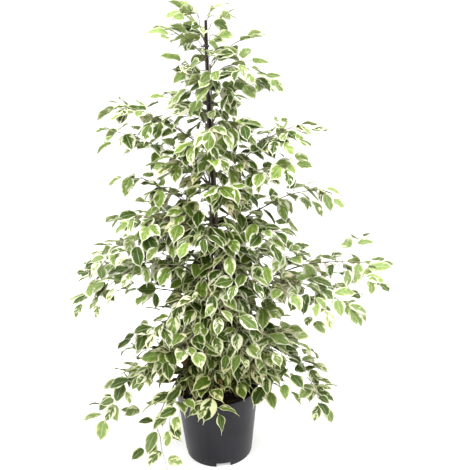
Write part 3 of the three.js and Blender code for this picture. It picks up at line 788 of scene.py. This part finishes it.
def add_blade(form, leaf):
    """One blade: folded along its midrib, waved at its margin, bent and a little twisted."""
    draw = draws_from(int(leaf.seed * 1e6))
    share, side = np.meshgrid(BLADE_ROWS, BLADE_COLUMNS, indexing="ij")
    half = np.maximum(leaf.width / 2 * blade_outline(share), BLADE_EDGE + BLADE_FOOT * (1 - share))
    x = side * half
    bulge = draw(BLADE_BULGE) * half * np.sin(pi * np.abs(side))
    wave = draw(BLADE_WAVE) * half * side ** 2
    turns = draw(BLADE_WAVES)
    z = leaf.fold * np.abs(x) + bulge + wave * np.sin(turns * share + side + PHASE * draw())
    twist = draw(BLADE_TWIST) * share
    x, z = x * np.cos(twist) - z * np.sin(twist), x * np.sin(twist) + z * np.cos(twist)
    tip = np.clip((share - DRIP_TIP_FROM) / (1 - DRIP_TIP_FROM), 0, 1) ** 2
    x += leaf.length * (draw(BLADE_SWAY) * share ** 2 + draw(DRIP_TIP_SWAY) * tip)
    z -= leaf.length * (leaf.bend * share ** 2 + draw(DRIP_TIP_DROOP) * tip)
    z += leaf.length * draw(BLADE_ARCH) * np.sin(pi * share)
    rib = BLADE_THICKNESS * (1 - np.abs(side)).clip(0, 1) ** 2 * (1 - share)
    axes = np.array([leaf.across, leaf.way, leaf.face])
    corners = []
    for offset in (BLADE_THICKNESS / 2, -BLADE_THICKNESS / 2 - rib):
        local = np.stack([x, leaf.length * share, z + offset], axis=-1).reshape(-1, 3)
        corners.append(local @ axes + np.array(leaf.base))
    places = np.stack([side / 2 + 0.5, share], axis=-1).reshape(-1, 2)
    under = np.repeat([0, 1], share.size)
    # Low leaves get a darker green: painted shade.
    tone = draw(TONE) + TONE_YOUNG * leaf.young - fade(leaf.base.z, *TONE_PAINTED_SHADE_LOW)
    cream = draw() ** CREAM_CURVE
    if draw() < MUCH_CREAM_SHARE:
        cream = draw(MUCH_CREAM)
    if leaf.dry:
        tone, cream = -1, 0
    else:
        tone = clamp(tone, 0, 1)
    traits = np.stack([np.full(under.size, v) for v in (leaf.seed, tone, cream)] + [under], axis=-1)
    form.add(np.concatenate(corners), BLADE_FACES, np.tile(places, (2, 1)), traits, BLADE_MARKS)


def add_wood(form, axis, sides, age):
    """An axis with swollen nodes where its leaves stand, their petioles, and a bud at its end."""
    nodes = [leaf.t for leaf in axis.leaves if leaf.t < NODE_LAST]
    even = [i / WOOD_STEPS for i in range(WOOD_STEPS + 1)]
    shares = sorted({round(t, 3) for t in even + nodes})
    slim = fade(axis.at(0).z, *WOOD_SLIM)
    radii = []
    for t in shares:
        is_node = any(abs(t - node) < NODE_NEAR for node in nodes)
        radii.append(mix(*axis.radii, t) * slim * (NODE_SWELL if is_node else 1))
    radii[0] *= ROOT_SWELL
    ages = [[clamp(age * (AGE_SPAN - t), 0, 1), t, 0, 0] for t in shares]
    add_tube(form, [axis.at(t) for t in shares], radii, sides, np.repeat(ages, sides, axis=0))
    bud = [axis.at(1) + axis.way(1) * along for along, _ in BUD]
    add_tube(form, bud, [radius for _, radius in BUD], BUD_SIDES, (0, 1, 1, 0))
    for leaf in axis.leaves:
        add_petiole(form, leaf)


def add_petiole(form, leaf):
    """A petiole that leaves the wood on a rise and turns into the blade's midrib."""
    span = leaf.base - leaf.root
    join = leaf.base + leaf.way * PETIOLE_JOIN
    near, far = PETIOLE_PLACES
    middle = leaf.root + span * far + UP * (span.length * PETIOLE_ARCH)
    points = [leaf.root, leaf.root + span * near, middle, leaf.base, join]
    radii = [PETIOLE_RADIUS * share for share in PETIOLE_SHAPE]
    add_tube(form, points, radii, PETIOLE_SIDES, (0, 0.5, 1, 0))


def make_branch(name, axes, bark, blade, *nodes):
    wood, leaves = Form(), Form()
    for number, axis in enumerate(axes):
        is_main = number == 0 and bool(nodes)
        add_wood(wood, axis, *(MAIN_WOOD if is_main else TWIG_WOOD))
        for leaf in axis.leaves:
            add_blade(leaves, leaf)
    wood.piece(name + "_twigs", bark, "bark", *nodes)
    leaves.piece(name + "_leaves", blade, "leaf", *nodes)


def make_stem(stem, look):
    """A ridged stem with a flare at the soil and a collar under each branch, younger upwards."""
    collars = [row[1] for row in BRANCHES if stem_for(row[1], row[2]) is stem]
    steps = ceil((stem.top - STEM_FOOT) / STEM_STEP)
    heights = [mix(STEM_FOOT, stem.top, i / steps) for i in range(steps + 1)]
    radii = []
    for height in heights:
        collar = sum(exp(-(((height - c) / COLLAR_HEIGHT) ** 2)) for c in collars)
        flare = exp(-max(height - SOIL_TOP, 0) / STEM_FLARE_HEIGHT)
        slim = fade(height, *STEM_SLIM)
        radii.append(stem_radius(stem, height) * (slim + COLLAR * collar + STEM_FLARE * flare))
    ages = [(fade(h, *STEM_AGE), 0, 0, 0) for h in heights]
    ages = np.repeat(ages, STEM_SIDES, axis=0)
    form = Form()
    line = [stem_at(stem, h) for h in heights]
    add_tube(form, line, radii, STEM_SIDES, ages, ridged(STEM_RIDGES, STEM_SIDES, heights))
    form.piece(stem.name + "_bark", look, "bark", stem.name)


def make_stake(look):
    """The stake: a coated cane with faint joints and a rounded top."""
    heights = [STAKE_FOOT + STAKE_STEP * i for i in range((STAKE_TOP - STAKE_FOOT) // STAKE_STEP - 1)]
    radii = []
    for height in heights:
        off = (height % STAKE_JOINTS - STAKE_JOINTS / 2) / STAKE_JOINT_HEIGHT
        radii.append(STAKE_RADIUS * (STAKE_BODY + STAKE_JOINT_SWELL * exp(-(off ** 2))))
    for below, share in STAKE_CAP:
        heights.append(STAKE_TOP - below)
        radii.append(STAKE_RADIUS * share)
    form = Form()
    line = [stake_at(h) for h in heights]
    add_tube(form, line, radii, STAKE_SIDES, shape=ridged(STAKE_RIDGES, STAKE_SIDES, heights))
    form.piece("stake_cane", look, "stake", "stake")


def tie_outline(height, grow, corners):
    """The line of a band drawn round the stake and the stems that reach a height."""
    circles = [(stake_at(height), STAKE_RADIUS)]
    for stem in STEMS:
        if stem.top > height + TIE_STEM_ABOVE:
            circles.append((stem_at(stem, height), stem_radius(stem, height)))
    outline = []
    for k in range(corners):
        way = bearing_vector(360 * k / corners)
        centre, radius = max(circles, key=lambda c: c[0].dot(way) + c[1])
        outline.append(centre + way * (radius + grow))
    return outline


def make_tie(number, height, look):
    """A flat band with rounded edges, closed by a short twist of its two ends."""
    form = Form()
    grow = TIE_SLACK + TIE_THICKNESS / 2
    rings = []
    for k, point in enumerate(tie_outline(height, grow, TIE_CORNERS)):
        out = bearing_vector(360 * k / TIE_CORNERS)
        for j in range(TIE_ROUND):
            angle = -2 * pi * j / TIE_ROUND
            thick = TIE_THICKNESS / 2 * copysign(abs(cos(angle)) ** TIE_SQUARE, cos(angle))
            tall = TIE_WIDTH / 2 * copysign(abs(sin(angle)) ** TIE_SQUARE, sin(angle))
            rings.append(tuple(point + out * thick + UP * tall))
    form.add(rings, ring_faces(TIE_CORNERS, TIE_ROUND, closed=True))
    foot = tie_outline(height, grow, TWIST_CORNERS)[TWIST_CORNER]
    way = bearing_vector(TWIST_BEARING)
    aside = bearing_vector(TWIST_BEARING + 90)
    for turn in (0, pi):
        line = []
        for i in range(TWIST_STEPS + 1):
            share = i / TWIST_STEPS
            angle = turn + TWIST_TURN * share
            spread = TWIST_SPREAD + TWIST_FLARE * max(share - TWIST_FLARE_FROM, 0)
            across = aside * cos(angle) + UP * sin(angle)
            line.append(foot + way * (TWIST_LENGTH * share) + across * spread)
        add_tube(form, line, [TWIST_RADIUS] * len(line), TWIST_SIDES)
    form.piece(f"tie_{number}_band", look, "tie", f"tie_{number}")


def lathe(name, profile, sides):
    """A closed turned mesh from radius and height pairs that start and end on the axis."""
    circle = ring_angles(sides)
    points, faces, rows = [], [], []
    for radius, height in profile:
        if radius == 0:
            rows.append([len(points)])
            points.append((0, 0, height * MM))
        else:
            rows.append(list(range(len(points), len(points) + sides)))
            points += [(radius * cos(a) * MM, radius * sin(a) * MM, height * MM) for a in circle]
    for low, high in zip(rows, rows[1:]):
        for k in range(sides):
            after = (k + 1) % sides
            if len(low) == 1:
                faces.append((low[0], high[after], high[k]))
            elif len(high) == 1:
                faces.append((low[k], low[after], high[0]))
            else:
                faces.append((low[k], low[after], high[after], high[k]))
    return mesh_object(name, points, faces)


def channel_cutter(bearing, grow, name):
    """A block along one drainage channel, grown on its sides and top, with the ends past the pot."""
    length = CHANNEL_DEPTH + 2 * CUT_OVERRUN + 2 * grow
    wide = CHANNEL_WIDTH + 2 * grow
    top = CHANNEL_HEIGHT + grow
    middle = POT_BASE_RADIUS - CHANNEL_DEPTH / 2 + CUT_OVERRUN
    turn = Matrix.Rotation(radians(bearing), 4, "Z")
    corners = []
    for x in (middle - length / 2, middle + length / 2):
        for y in (-wide / 2, wide / 2):
            for z in (-2 * CUT_OVERRUN, top):
                corners.append(turn @ Vector((x, y, z)) * MM)
    faces = [(0, 1, 3, 2), (4, 6, 7, 5), (0, 4, 5, 1), (2, 3, 7, 6), (0, 2, 6, 4), (1, 5, 7, 3)]
    return mesh_object(name, corners, faces)


def hole_cutter(bearing):
    low, high = -CUT_OVERRUN, DRAIN_HOLE_LENGTH / 2
    profile = [(0, low), (DRAIN_HOLE_RADIUS, low), (DRAIN_HOLE_RADIUS, high), (0, high)]
    made = lathe("hole", profile, DRAIN_HOLE_SIDES)
    place = bearing_vector(bearing) * (POT_BASE_RADIUS - CHANNEL_DEPTH / 2)
    made.data.transform(Matrix.Translation(place * MM))
    return made


def cut(target, tool):
    """Cuts a tool out of a target's mesh, and removes the tool."""
    for made in (target, tool):
        if made.name not in bpy.context.scene.collection.objects:
            show(made)
    step = target.modifiers.new("cut", "BOOLEAN")
    step.object, step.operation, step.solver = tool, "DIFFERENCE", "EXACT"
    bpy.context.view_layer.update()
    evaluated = target.evaluated_get(bpy.context.evaluated_depsgraph_get())
    mesh = bpy.data.meshes.new_from_object(evaluated)
    target.modifiers.clear()
    target.data = mesh
    bpy.data.objects.remove(tool)


def make_pot(look):
    """A thin tapered shell with a rounded rim and foot, and channels pressed up into its floor."""
    foot = []
    for angle in map(radians, FOOT_ANGLES):
        foot.append((POT_BASE_RADIUS - 2 * POT_EDGE * (1 - sin(angle)), 2 * POT_EDGE * (1 - cos(angle))))
    top = POT_HEIGHT - POT_EDGE
    bead = []
    for i in range(BEAD_STEPS + 1):
        angle = pi * i / BEAD_STEPS
        out = POT_WALL / 2 * cos(angle)
        bead.append((POT_RIM_RADIUS - POT_WALL / 2 + out, top + POT_EDGE * sin(angle)))
    walls = [(pot_radius(h), h) for h in range(WALL_STEP, POT_HEIGHT - 1, WALL_STEP)]
    pot = lathe("nursery_pot", [(0, 0), *foot, *walls, *bead, (0, top)], POT_SIDES)
    inside = POT_RIM_RADIUS - POT_WALL
    above = POT_HEIGHT + CUT_OVERRUN
    inner = [(0, POT_FLOOR), (pot_radius(POT_FLOOR) - POT_WALL, POT_FLOOR)]
    inner += [(r - POT_WALL, h) for r, h in walls]
    inner += [(inside, top - SLIVER), (inside, above), (0, above)]
    hollow = lathe("hollow", inner, POT_SIDES)
    for bearing in CHANNEL_BEARINGS:
        cut(hollow, channel_cutter(bearing, POT_WALL, "roof"))
    cut(pot, hollow)
    for bearing in CHANNEL_BEARINGS:
        cut(pot, channel_cutter(bearing, 0, "channel"))
        cut(pot, hole_cutter(bearing))
    bpy.context.scene.collection.objects.unlink(pot)
    pot.data.shade_smooth()
    pot.data.set_sharp_from_angle(angle=radians(POT_SHARP_ANGLE))
    pot.data.materials.clear()
    pot.data.materials.append(look)
    place_piece(pot, "pot", "pot")


def soil_lump(x, y):
    """The height of the soil's uneven top over its crown: broad, middle and fine lumps."""
    broad = sin(x * 0.052 + 1.3) * sin(y * 0.047 + 0.4)
    middle = sin(x * 0.17 + y * 0.09) * sin(y * 0.2 - x * 0.06)
    fine = sin(x * 0.61 + 2 * sin(y * 0.37)) * sin(y * 0.53 + 2 * sin(x * 0.41))
    return sum(size * lump for size, lump in zip(SOIL_UNEVEN, (broad, middle, fine)))


def soil_spot(rim, reach, draw):
    """A drawn point on the soil's top, within a share of its rim."""
    place = bearing_vector(360 * draw()) * (rim * reach * sqrt(draw()))
    return place + UP * (SOIL_TOP - SOIL_CROWN * place.length / rim + soil_lump(place.x, place.y))


def make_soil(look):
    """The soil: an uneven filling with crumbs and fibres on its top."""
    form = Form()
    draw = draws_from(SOIL_SEED)
    fit = POT_WALL + SOIL_FIT
    rim = pot_radius(SOIL_TOP - SOIL_CROWN) - fit
    rings = [(pot_radius(SOIL_BOTTOM) - fit, SOIL_BOTTOM, 0)]
    for i in range(SOIL_RINGS, 0, -1):
        share = i / SOIL_RINGS
        rings.append((rim * share, SOIL_TOP - SOIL_CROWN * share, min(1, (1 - share) * SOIL_FADE)))
    points = []
    for radius, level, uneven in rings:
        for angle in ring_angles(SOIL_SIDES):
            x, y = radius * cos(angle), radius * sin(angle)
            points.append((x, y, level + uneven * soil_lump(x, y)))
    form.add(points, ring_faces(len(rings), SOIL_SIDES))
    for _ in range(CRUMBS):
        add_crumb(form, soil_spot(rim, CRUMB_REACH, draw), mix(*CRUMB_SIZE, draw() ** 2), draw)
    for _ in range(FIBRES):
        add_fibre(form, soil_spot(rim, FIBRE_REACH, draw) + UP * FIBRE_LIFT, draw)
    form.piece("soil_filling", look, "soil", "soil")


def add_fibre(form, place, draw):
    """A bowed fibre that lies on the soil, with its middle a little raised."""
    way = bearing_vector(360 * draw())
    bow = draw(FIBRE_BOW)
    length = draw(FIBRE_LENGTH)
    line = []
    for i in range(FIBRE_STEPS + 1):
        share = i / FIBRE_STEPS
        arch = 4 * share * (1 - share)
        off = way * (length * (share - 0.5)) + way.cross(UP) * (bow * arch)
        line.append(place + off + UP * (FIBRE_RISE * arch))
    add_tube(form, line, [FIBRE_RADIUS] * len(line), FIBRE_SIDES, (0, draw(), 1, 0))


def add_crumb(form, place, size, draw):
    """An irregular crumb of peat or bark."""
    bumps, lumps, spin, _ = (PHASE * draw() for _ in range(4))
    squash = draw(CRUMB_SQUASH)
    turned = Matrix.Rotation(spin, 3, "Z")
    points = []
    for i in range(CRUMB_RINGS):
        tilt = pi * (i + CRUMB_POLE) / (CRUMB_RINGS - 1 + 2 * CRUMB_POLE)
        for angle in -ring_angles(CRUMB_SIDES):
            rough = 1 + CRUMB_BUMP * sin(3 * angle + bumps + tilt)
            rough += CRUMB_LUMP * sin(2 * angle + lumps - 3 * tilt)
            out = sin(tilt)
            corner = Vector((out * cos(angle), out * sin(angle) * squash, cos(tilt) * squash))
            points.append(tuple(place + turned @ corner * (size * rough)))
    form.add(points, ring_faces(CRUMB_RINGS, CRUMB_SIDES), traits=(draw(), draw(), 0, 0))


def make_fallen_leaves(look):
    """Dry leaves that lie on the soil, each on its edge and midrib."""
    form = Form()
    draw = draws_from(FALLEN_SEED)
    for i in range(FALLEN_LEAVES):
        leaf = SimpleNamespace(outward=bearing_vector(360 * draw()), young=0, dry=True)
        middle = bearing_vector(GOLDEN_ANGLE * i) * draw(FALLEN_PLACE)
        leaf.roll = draw(FALLEN_ROLL)
        leaf.seed = draw()
        leaf.length = draw(FALLEN_LENGTH)
        leaf.fold = draw(FALLEN_FOLD)
        leaf.bend = draw(FALLEN_BEND)
        leaf.width = leaf.length * BLADE_WIDTH
        leaf.base = middle - leaf.outward * (leaf.length / 2) + UP * (SOIL_TOP + FALLEN_LIFT)
        set_blade_way(leaf, draw(FALLEN_TILT))
        add_blade(form, leaf)
    form.piece("fallen_leaves", look, "leaf")


class Value:
    """The value of a node's socket, which adds, subtracts and multiplies as a number does."""

    def __init__(self, look, socket):
        self.look = look
        self.socket = socket

    def __add__(self, other):
        return self.look.math("ADD", self, other)

    def __sub__(self, other):
        return self.look.math("SUBTRACT", self, other)

    def __mul__(self, other):
        return self.look.math("MULTIPLY", self, other)


class Look:
    """A node material, with short ways to add its nodes."""

    def __init__(self, name):
        self.material = bpy.data.materials.new(name)
        self.material.use_nodes = True
        self.tree = self.material.node_tree
        self.shader = self.tree.nodes["Principled BSDF"]
        self.place = self.value("TexCoord", output="Object")

    def node(self, kind, inputs=(), **settings):
        made = self.tree.nodes.new("ShaderNode" + kind)
        for key, value in settings.items():
            setattr(made, key, value)
        for key, value in dict(inputs).items():
            self.feed(made.inputs[key], value)
        return made

    def value(self, kind, inputs=(), output=0, **settings):
        return Value(self, self.node(kind, inputs, **settings).outputs[output])

    def feed(self, socket, value):
        if isinstance(value, Value):
            value = value.socket
        if isinstance(value, bpy.types.NodeSocket):
            self.tree.links.new(value, socket)
        else:
            socket.default_value = value

    def math(self, operation, *values):
        return self.value("Math", enumerate(values), operation=operation)

    def ramp(self, value, low, high, start=0, end=1):
        inputs = {0: value, 1: low, 2: high, 3: start, 4: end}
        return self.value("MapRange", inputs, interpolation_type="SMOOTHSTEP")

    def blend(self, share, first, second):
        """Mixes two colours, each plain or from a socket."""
        first, second = ((*c, 1) if isinstance(c, tuple) else c for c in (first, second))
        return self.value("Mix", {0: share, 6: first, 7: second}, 2, data_type="RGBA")

    def turn(self, value, low, high, first, second, most=1):
        """Turns from one colour to another, or most of the way, as a value goes from low to high."""
        return self.blend(self.ramp(value, low, high, 0, most), first, second)

    def join(self, x, y, z):
        return self.value("CombineXYZ", {0: x, 1: y, 2: z})

    def split(self, vector):
        return [Value(self, part) for part in self.node("SeparateXYZ", {0: vector}).outputs]

    def upright(self, stretch):
        """Places for a pattern that runs along the object's height."""
        return self.value("Mapping", {0: self.place, 3: (1, 1, stretch)})

    def noise(self, scale, detail=2, roughness=0.5, place=None):
        inputs = {"Vector": place or self.place, "Scale": scale, "Detail": detail}
        return self.value("TexNoise", {**inputs, "Roughness": roughness}, "Fac")

    def traits(self):
        """The four values that each point of a form carries."""
        made = self.node("Attribute", attribute_type="GEOMETRY", attribute_name="traits")
        parts = self.node("SeparateColor", {0: made.outputs["Color"]}).outputs[:3]
        return [Value(self, part) for part in (*parts, made.outputs["Alpha"])]

    def bump(self, height, distance, strength):
        inputs = {"Height": height, "Distance": distance, "Strength": strength}
        self.feed(self.shader.inputs["Normal"], self.value("Bump", inputs))

    def finish(self, shade, roughness, specular=0.5):
        self.feed(self.shader.inputs["Base Color"], shade)
        self.feed(self.shader.inputs["Roughness"], roughness)
        self.shader.inputs["Specular IOR Level"].default_value = specular
        return self.material


def leaf_look():
    """Green blade with flamed cream margin and tip, pale midrib, faint veins and a paler underside; with
    painted shade deep in the crown and on low leaves, and painted light on outer leaves.
    """
    look = Look("variegated_leaf")
    seed, tone, cream, under = look.traits()
    u, v, _ = look.split(look.value("UVMap", uv_map="UVMap"))
    signed = u * 2 - 1
    across = look.math("ABSOLUTE", signed)
    side = look.math("SIGN", signed) * 3
    slant = v - across * 0.34
    number = seed * 400

    # How deep a leaf sits in the crown, near its axis or above the pot, and how far out. The first is a
    # mask of painted shade, the second a mask of painted light.
    x, y, height = look.split(look.place)
    level = look.value("VectorMath", {0: look.join(x, y, 0)}, "Value", operation="LENGTH")
    heart = look.ramp(level, 0.03, 0.15, 1, 0)
    foot = look.ramp(level, 0.1, 0.22, 0.8, 0) * look.ramp(height, 0.25, 0.45, 1, 0)
    inside = look.math("MAXIMUM", heart * look.ramp(height, 0.3, 1, 1, 0.15), foot)
    outer = look.math("MAXIMUM", look.ramp(level, 0.08, 0.28), look.ramp(height, 0.75, 1, 0, 0.8))

    # Cream margin with flames towards the midrib, and a lighter green band within it
    flame = look.noise(1, 3, 0.6, look.join(across * 0.9 + side, slant * 4.5, number))
    second = look.noise(1.3, 2, 0.5, look.join(across * 1.4 + side, slant * 9, number))
    uneven = look.math("FRACT", seed * 61.3 + side * 0.17)
    margin = look.ramp(flame, 0.44, 0.72) * (cream * 1.35 + 0.1) + flame * 0.24
    margin += look.ramp(uneven, 0, 1, -0.1, 0.06) + look.ramp(v, 0.66, 0.96, 0, 0.8)
    margin = look.math("MAXIMUM", margin + look.ramp(heart, 0, 1, 0.09, 0), 0.025)
    inner = look.math("SUBTRACT", 1, margin)
    creamy = look.ramp(across - inner, -0.05, 0.05)
    band = look.ramp(across - inner + second * 1.5 - 0.55, -0.03, 0.08)

    # Green, mottled, with side veins and the midrib; a pale painted sheen on outer leaves, and painted
    # shade that darkens leaves deep in the crown
    dark = look.turn(tone, 0, 0.7, *GREEN)
    dark = look.turn(tone, 0.78, 1, dark, GREEN_YOUNG)
    light = look.turn(tone, 0, 0.9, *BAND)
    green = look.blend(band * 0.8, dark, light)
    mottle = look.noise(3.2, 3, 0.5, look.join(signed, v * 2, number))
    green = look.turn(mottle, 0.45, 0.75, green, light, 0.4)
    beat = look.math("FRACT", slant * 12)
    vein = look.ramp(look.math("ABSOLUTE", beat - 0.5), 0.05, 0.14, 1, 0)
    green = look.blend(vein * 0.18, green, VEIN)
    rib = look.ramp(v * 0.05 + 0.03 - across, -0.02, 0.03)
    green = look.blend(rib * 0.6, green, MIDRIB)
    # Outer leaves are washed with a pale grey-green: painted sheen and light.
    painted_sheen = (outer * 0.14 + 0.01) * look.ramp(tone, 0, 0.6, 0.3, 1)
    green = look.blend(painted_sheen, green, PAINTED_SHEEN)
    # Leaves deep in the crown turn to dark green: painted shade.
    green = look.blend(inside * 0.88, green, look.blend(tone, *PAINTED_SHADE_GREEN))

    # Cream, which differs from leaf to leaf and turns greener near the top; it is darker and yellower as
    # painted shade deep in the crown and low down, and paler as painted light on outer leaves
    pale = look.turn(second, 0.3, 0.6, *CREAM)
    pale = look.turn(look.math("FRACT", seed * 37.7), 0.4, 1, pale, CREAM_GREENISH, 0.6)
    pale = look.turn(cream, 1, 1.5, pale, CREAM_WARM, 0.6)
    pale = look.turn(height, 0.75, 1.1, pale, CREAM_TOP, 0.8)
    # Cream turns darker and yellower deep in the crown and low down: painted shade.
    shaded = look.math("MAXIMUM", inside * 0.9, look.ramp(height, 0.15, 0.6, 0.6, 0))
    pale = look.blend(shaded, pale, CREAM_SHADED)
    # Cream on outer leaves is paler: painted light.
    pale = look.blend(outer * 0.35, pale, CREAM_PAINTED_LIGHT)

    face = look.blend(creamy, green, pale)
    dead = look.turn(flame, 0.3, 0.7, *DRY_LEAF)
    face = look.blend(look.ramp(tone, -0.6, -0.2, 1, 0), face, dead)
    shade = look.blend(under, face, look.blend(0.4, face, UNDERSIDE))
    look.bump(mottle * 0.5 - vein * 0.35 - rib * 0.8, 0.0004, 0.6)
    look.finish(shade, mottle * 0.14 + 0.3 + under * 0.22, 0.08)
    glow = look.value("BsdfTranslucent", {"Color": look.blend(0.35, shade, GLOW)})
    both = look.value("MixShader", {0: 0.24, 1: look.shader.outputs[0], 2: glow})
    look.feed(look.tree.nodes["Material Output"].inputs["Surface"], both)
    return look.material


def bark_look():
    """Grey-brown bark with lenticels, green-brown on young twigs and pale green on petioles."""
    look = Look("fig_bark")
    age, along, soft, _ = look.traits()
    grain = look.noise(420, 4, 0.6, look.upright(0.22))
    old = look.turn(grain, 0.35, 0.65, *BARK)
    old = look.turn(look.noise(60), 0.45, 0.7, old, BARK_BLOTCH, 0.5)
    wood = look.turn(age, 0.1, 0.6, look.blend(grain, *TWIG), old)
    shade = look.blend(soft, wood, look.blend(along, *PETIOLE_AND_BUD))
    cells = look.value("TexVoronoi", {"Vector": look.place, "Scale": 300}, "Distance")
    spot = look.ramp(cells, 0.12, 0.2, 1, 0) * look.ramp(age, 0.3, 0.8, 0, 0.5)
    look.bump(grain + spot, 0.0006, 0.7)
    return look.finish(look.blend(spot, shade, LENTICEL), grain * 0.2 + 0.62)


def pot_look():
    """Satin dark grey plastic with a fine grain, faint upright streaks, and dust near the foot."""
    look = Look("nursery_plastic")
    streak = look.noise(90, 3, 0.6, look.upright(0.05))
    base = look.turn(look.noise(14, 3), 0.3, 0.7, *PLASTIC)
    base = look.turn(streak, 0.5, 0.8, base, STREAK, 0.35)
    low = look.ramp(look.split(look.place)[2], 0, 0.03, 1, 0)
    dust = low * look.ramp(look.noise(120, 4, 0.7), 0.45, 0.75, 0, 0.5)
    look.shader.inputs["Sheen Weight"].default_value = 0.1
    look.shader.inputs["Sheen Roughness"].default_value = 0.35
    look.bump(streak * 0.4 + look.noise(1500) * 0.5, 0.00015, 0.5)
    return look.finish(look.blend(dust, base, DUST), streak * 0.14 + 0.3 + dust * 0.3, 0.17)


def soil_look():
    """Dark moist peat with browner crumbs and straw-coloured fibres."""
    look = Look("peat_soil")
    tint, other, fibre, _ = look.traits()
    fine = look.noise(700, 5, 0.7)
    broad = look.noise(90, 3)
    base = look.turn(fine, 0.35, 0.7, *PEAT)
    base = look.turn(broad, 0.4, 0.7, base, PEAT_CLOUD, 0.5)
    base = look.turn(tint, 0.6, 1, base, CRUMB, 0.6)
    straw = look.blend(other, *STRAW)
    look.bump(broad * 0.8 + fine, 0.0015, 0.9)
    return look.finish(look.blend(fibre, base, straw), 0.92)


def stake_look():
    """Black-brown coated cane, with a faint lengthwise grain and worn lighter streaks."""
    look = Look("stake_coating")
    grain = look.noise(700, 4, 0.6, look.upright(0.06))
    base = look.turn(grain, 0.35, 0.7, *CANE)
    base = look.turn(look.noise(160, 4, 0.65), 0.58, 0.8, base, CANE_WORN, 0.5)
    look.bump(grain, 0.0003, 0.6)
    return look.finish(base, grain * 0.25 + 0.42, 0.25)


def tie_look():
    """Black soft plastic with a fine grain and a slight gloss."""
    look = Look("tie_plastic")
    fine = look.noise(1100, 3, 0.6)
    look.bump(fine, 0.0002, 0.6)
    return look.finish(look.turn(fine, 0.3, 0.7, *TIE), fine * 0.2 + 0.38)


def floor_look():
    look = Look("pale_floor")
    dark, pale = ((grey, grey, grey) for grey in FLOOR_GREYS)
    look.shader.inputs["Emission Color"].default_value = (1, 1, 1, 1)
    look.shader.inputs["Emission Strength"].default_value = FLOOR_GLOW
    return look.finish(look.turn(look.noise(3), 0.3, 0.7, dark, pale), 0.9, 0.1)


def make_camera():
    """The camera at the photograph's angle: looking down on the plant, with a slight roll."""
    data = bpy.data.cameras.new("camera")
    data.angle = radians(CAMERA_FIELD)
    camera = bpy.data.objects.new("camera", data)
    down = Matrix.Rotation(radians(90 - CAMERA_DOWN), 4, "X")
    roll = Matrix.Rotation(radians(-CAMERA_ROLL), 4, "Z")
    camera.matrix_world = Matrix.Translation(CAMERA_PLACE) @ down @ roll
    show(camera)
    bpy.context.scene.camera = camera


def make_light(name, place, height, width, power):
    data = bpy.data.lights.new(name, "AREA")
    data.shape, data.size, data.energy = "DISK", width, power
    light = bpy.data.objects.new(name, data)
    light.location = place
    light.rotation_euler = (UP * height - Vector(place)).to_track_quat("-Z", "Y").to_euler()
    show(light)


def make_stage():
    """Plain pale floor, even white surroundings and three soft lamps."""
    corners = [(x * FLOOR_REACH, y * FLOOR_REACH, 0) for x, y in ((-1, -1), (1, -1), (1, 1), (-1, 1))]
    floor = mesh_object("floor", corners, [(0, 1, 2, 3)])
    floor.data.materials.append(floor_look())
    show(floor)
    world = bpy.data.worlds.new("studio")
    world.use_nodes = True
    background = world.node_tree.nodes["Background"].inputs
    background["Color"].default_value = (1, 1, 1, 1)
    background["Strength"].default_value = WORLD_LIGHT
    bpy.context.scene.world = world
    for lamp in LAMPS:
        make_light(*lamp)
    bpy.context.scene.view_settings.view_transform = "Standard"


def build():
    wood, leaf = bark_look(), leaf_look()
    for index, row in enumerate(BRANCHES):
        make_branch(row[0], grow_branch(index, row), wood, leaf, row[0])
    for index, (*row, leafless) in enumerate(SPRAYS, len(BRANCHES)):
        make_branch(row[0], grow_branch(index, row, leafless), wood, leaf)
    for number, (name, *shape) in enumerate(INNER_SHOOTS):
        make_branch(name, grow_inner_shoots(*shape, INNER_SEED + number), wood, leaf)
    for stem in STEMS:
        make_stem(stem, wood)
    make_stake(stake_look())
    look = tie_look()
    for number, height in enumerate(TIE_HEIGHTS, 1):
        make_tie(number, height, look)
    make_pot(pot_look())
    make_soil(soil_look())
    make_fallen_leaves(leaf)


make_camera()
make_stage()
build()
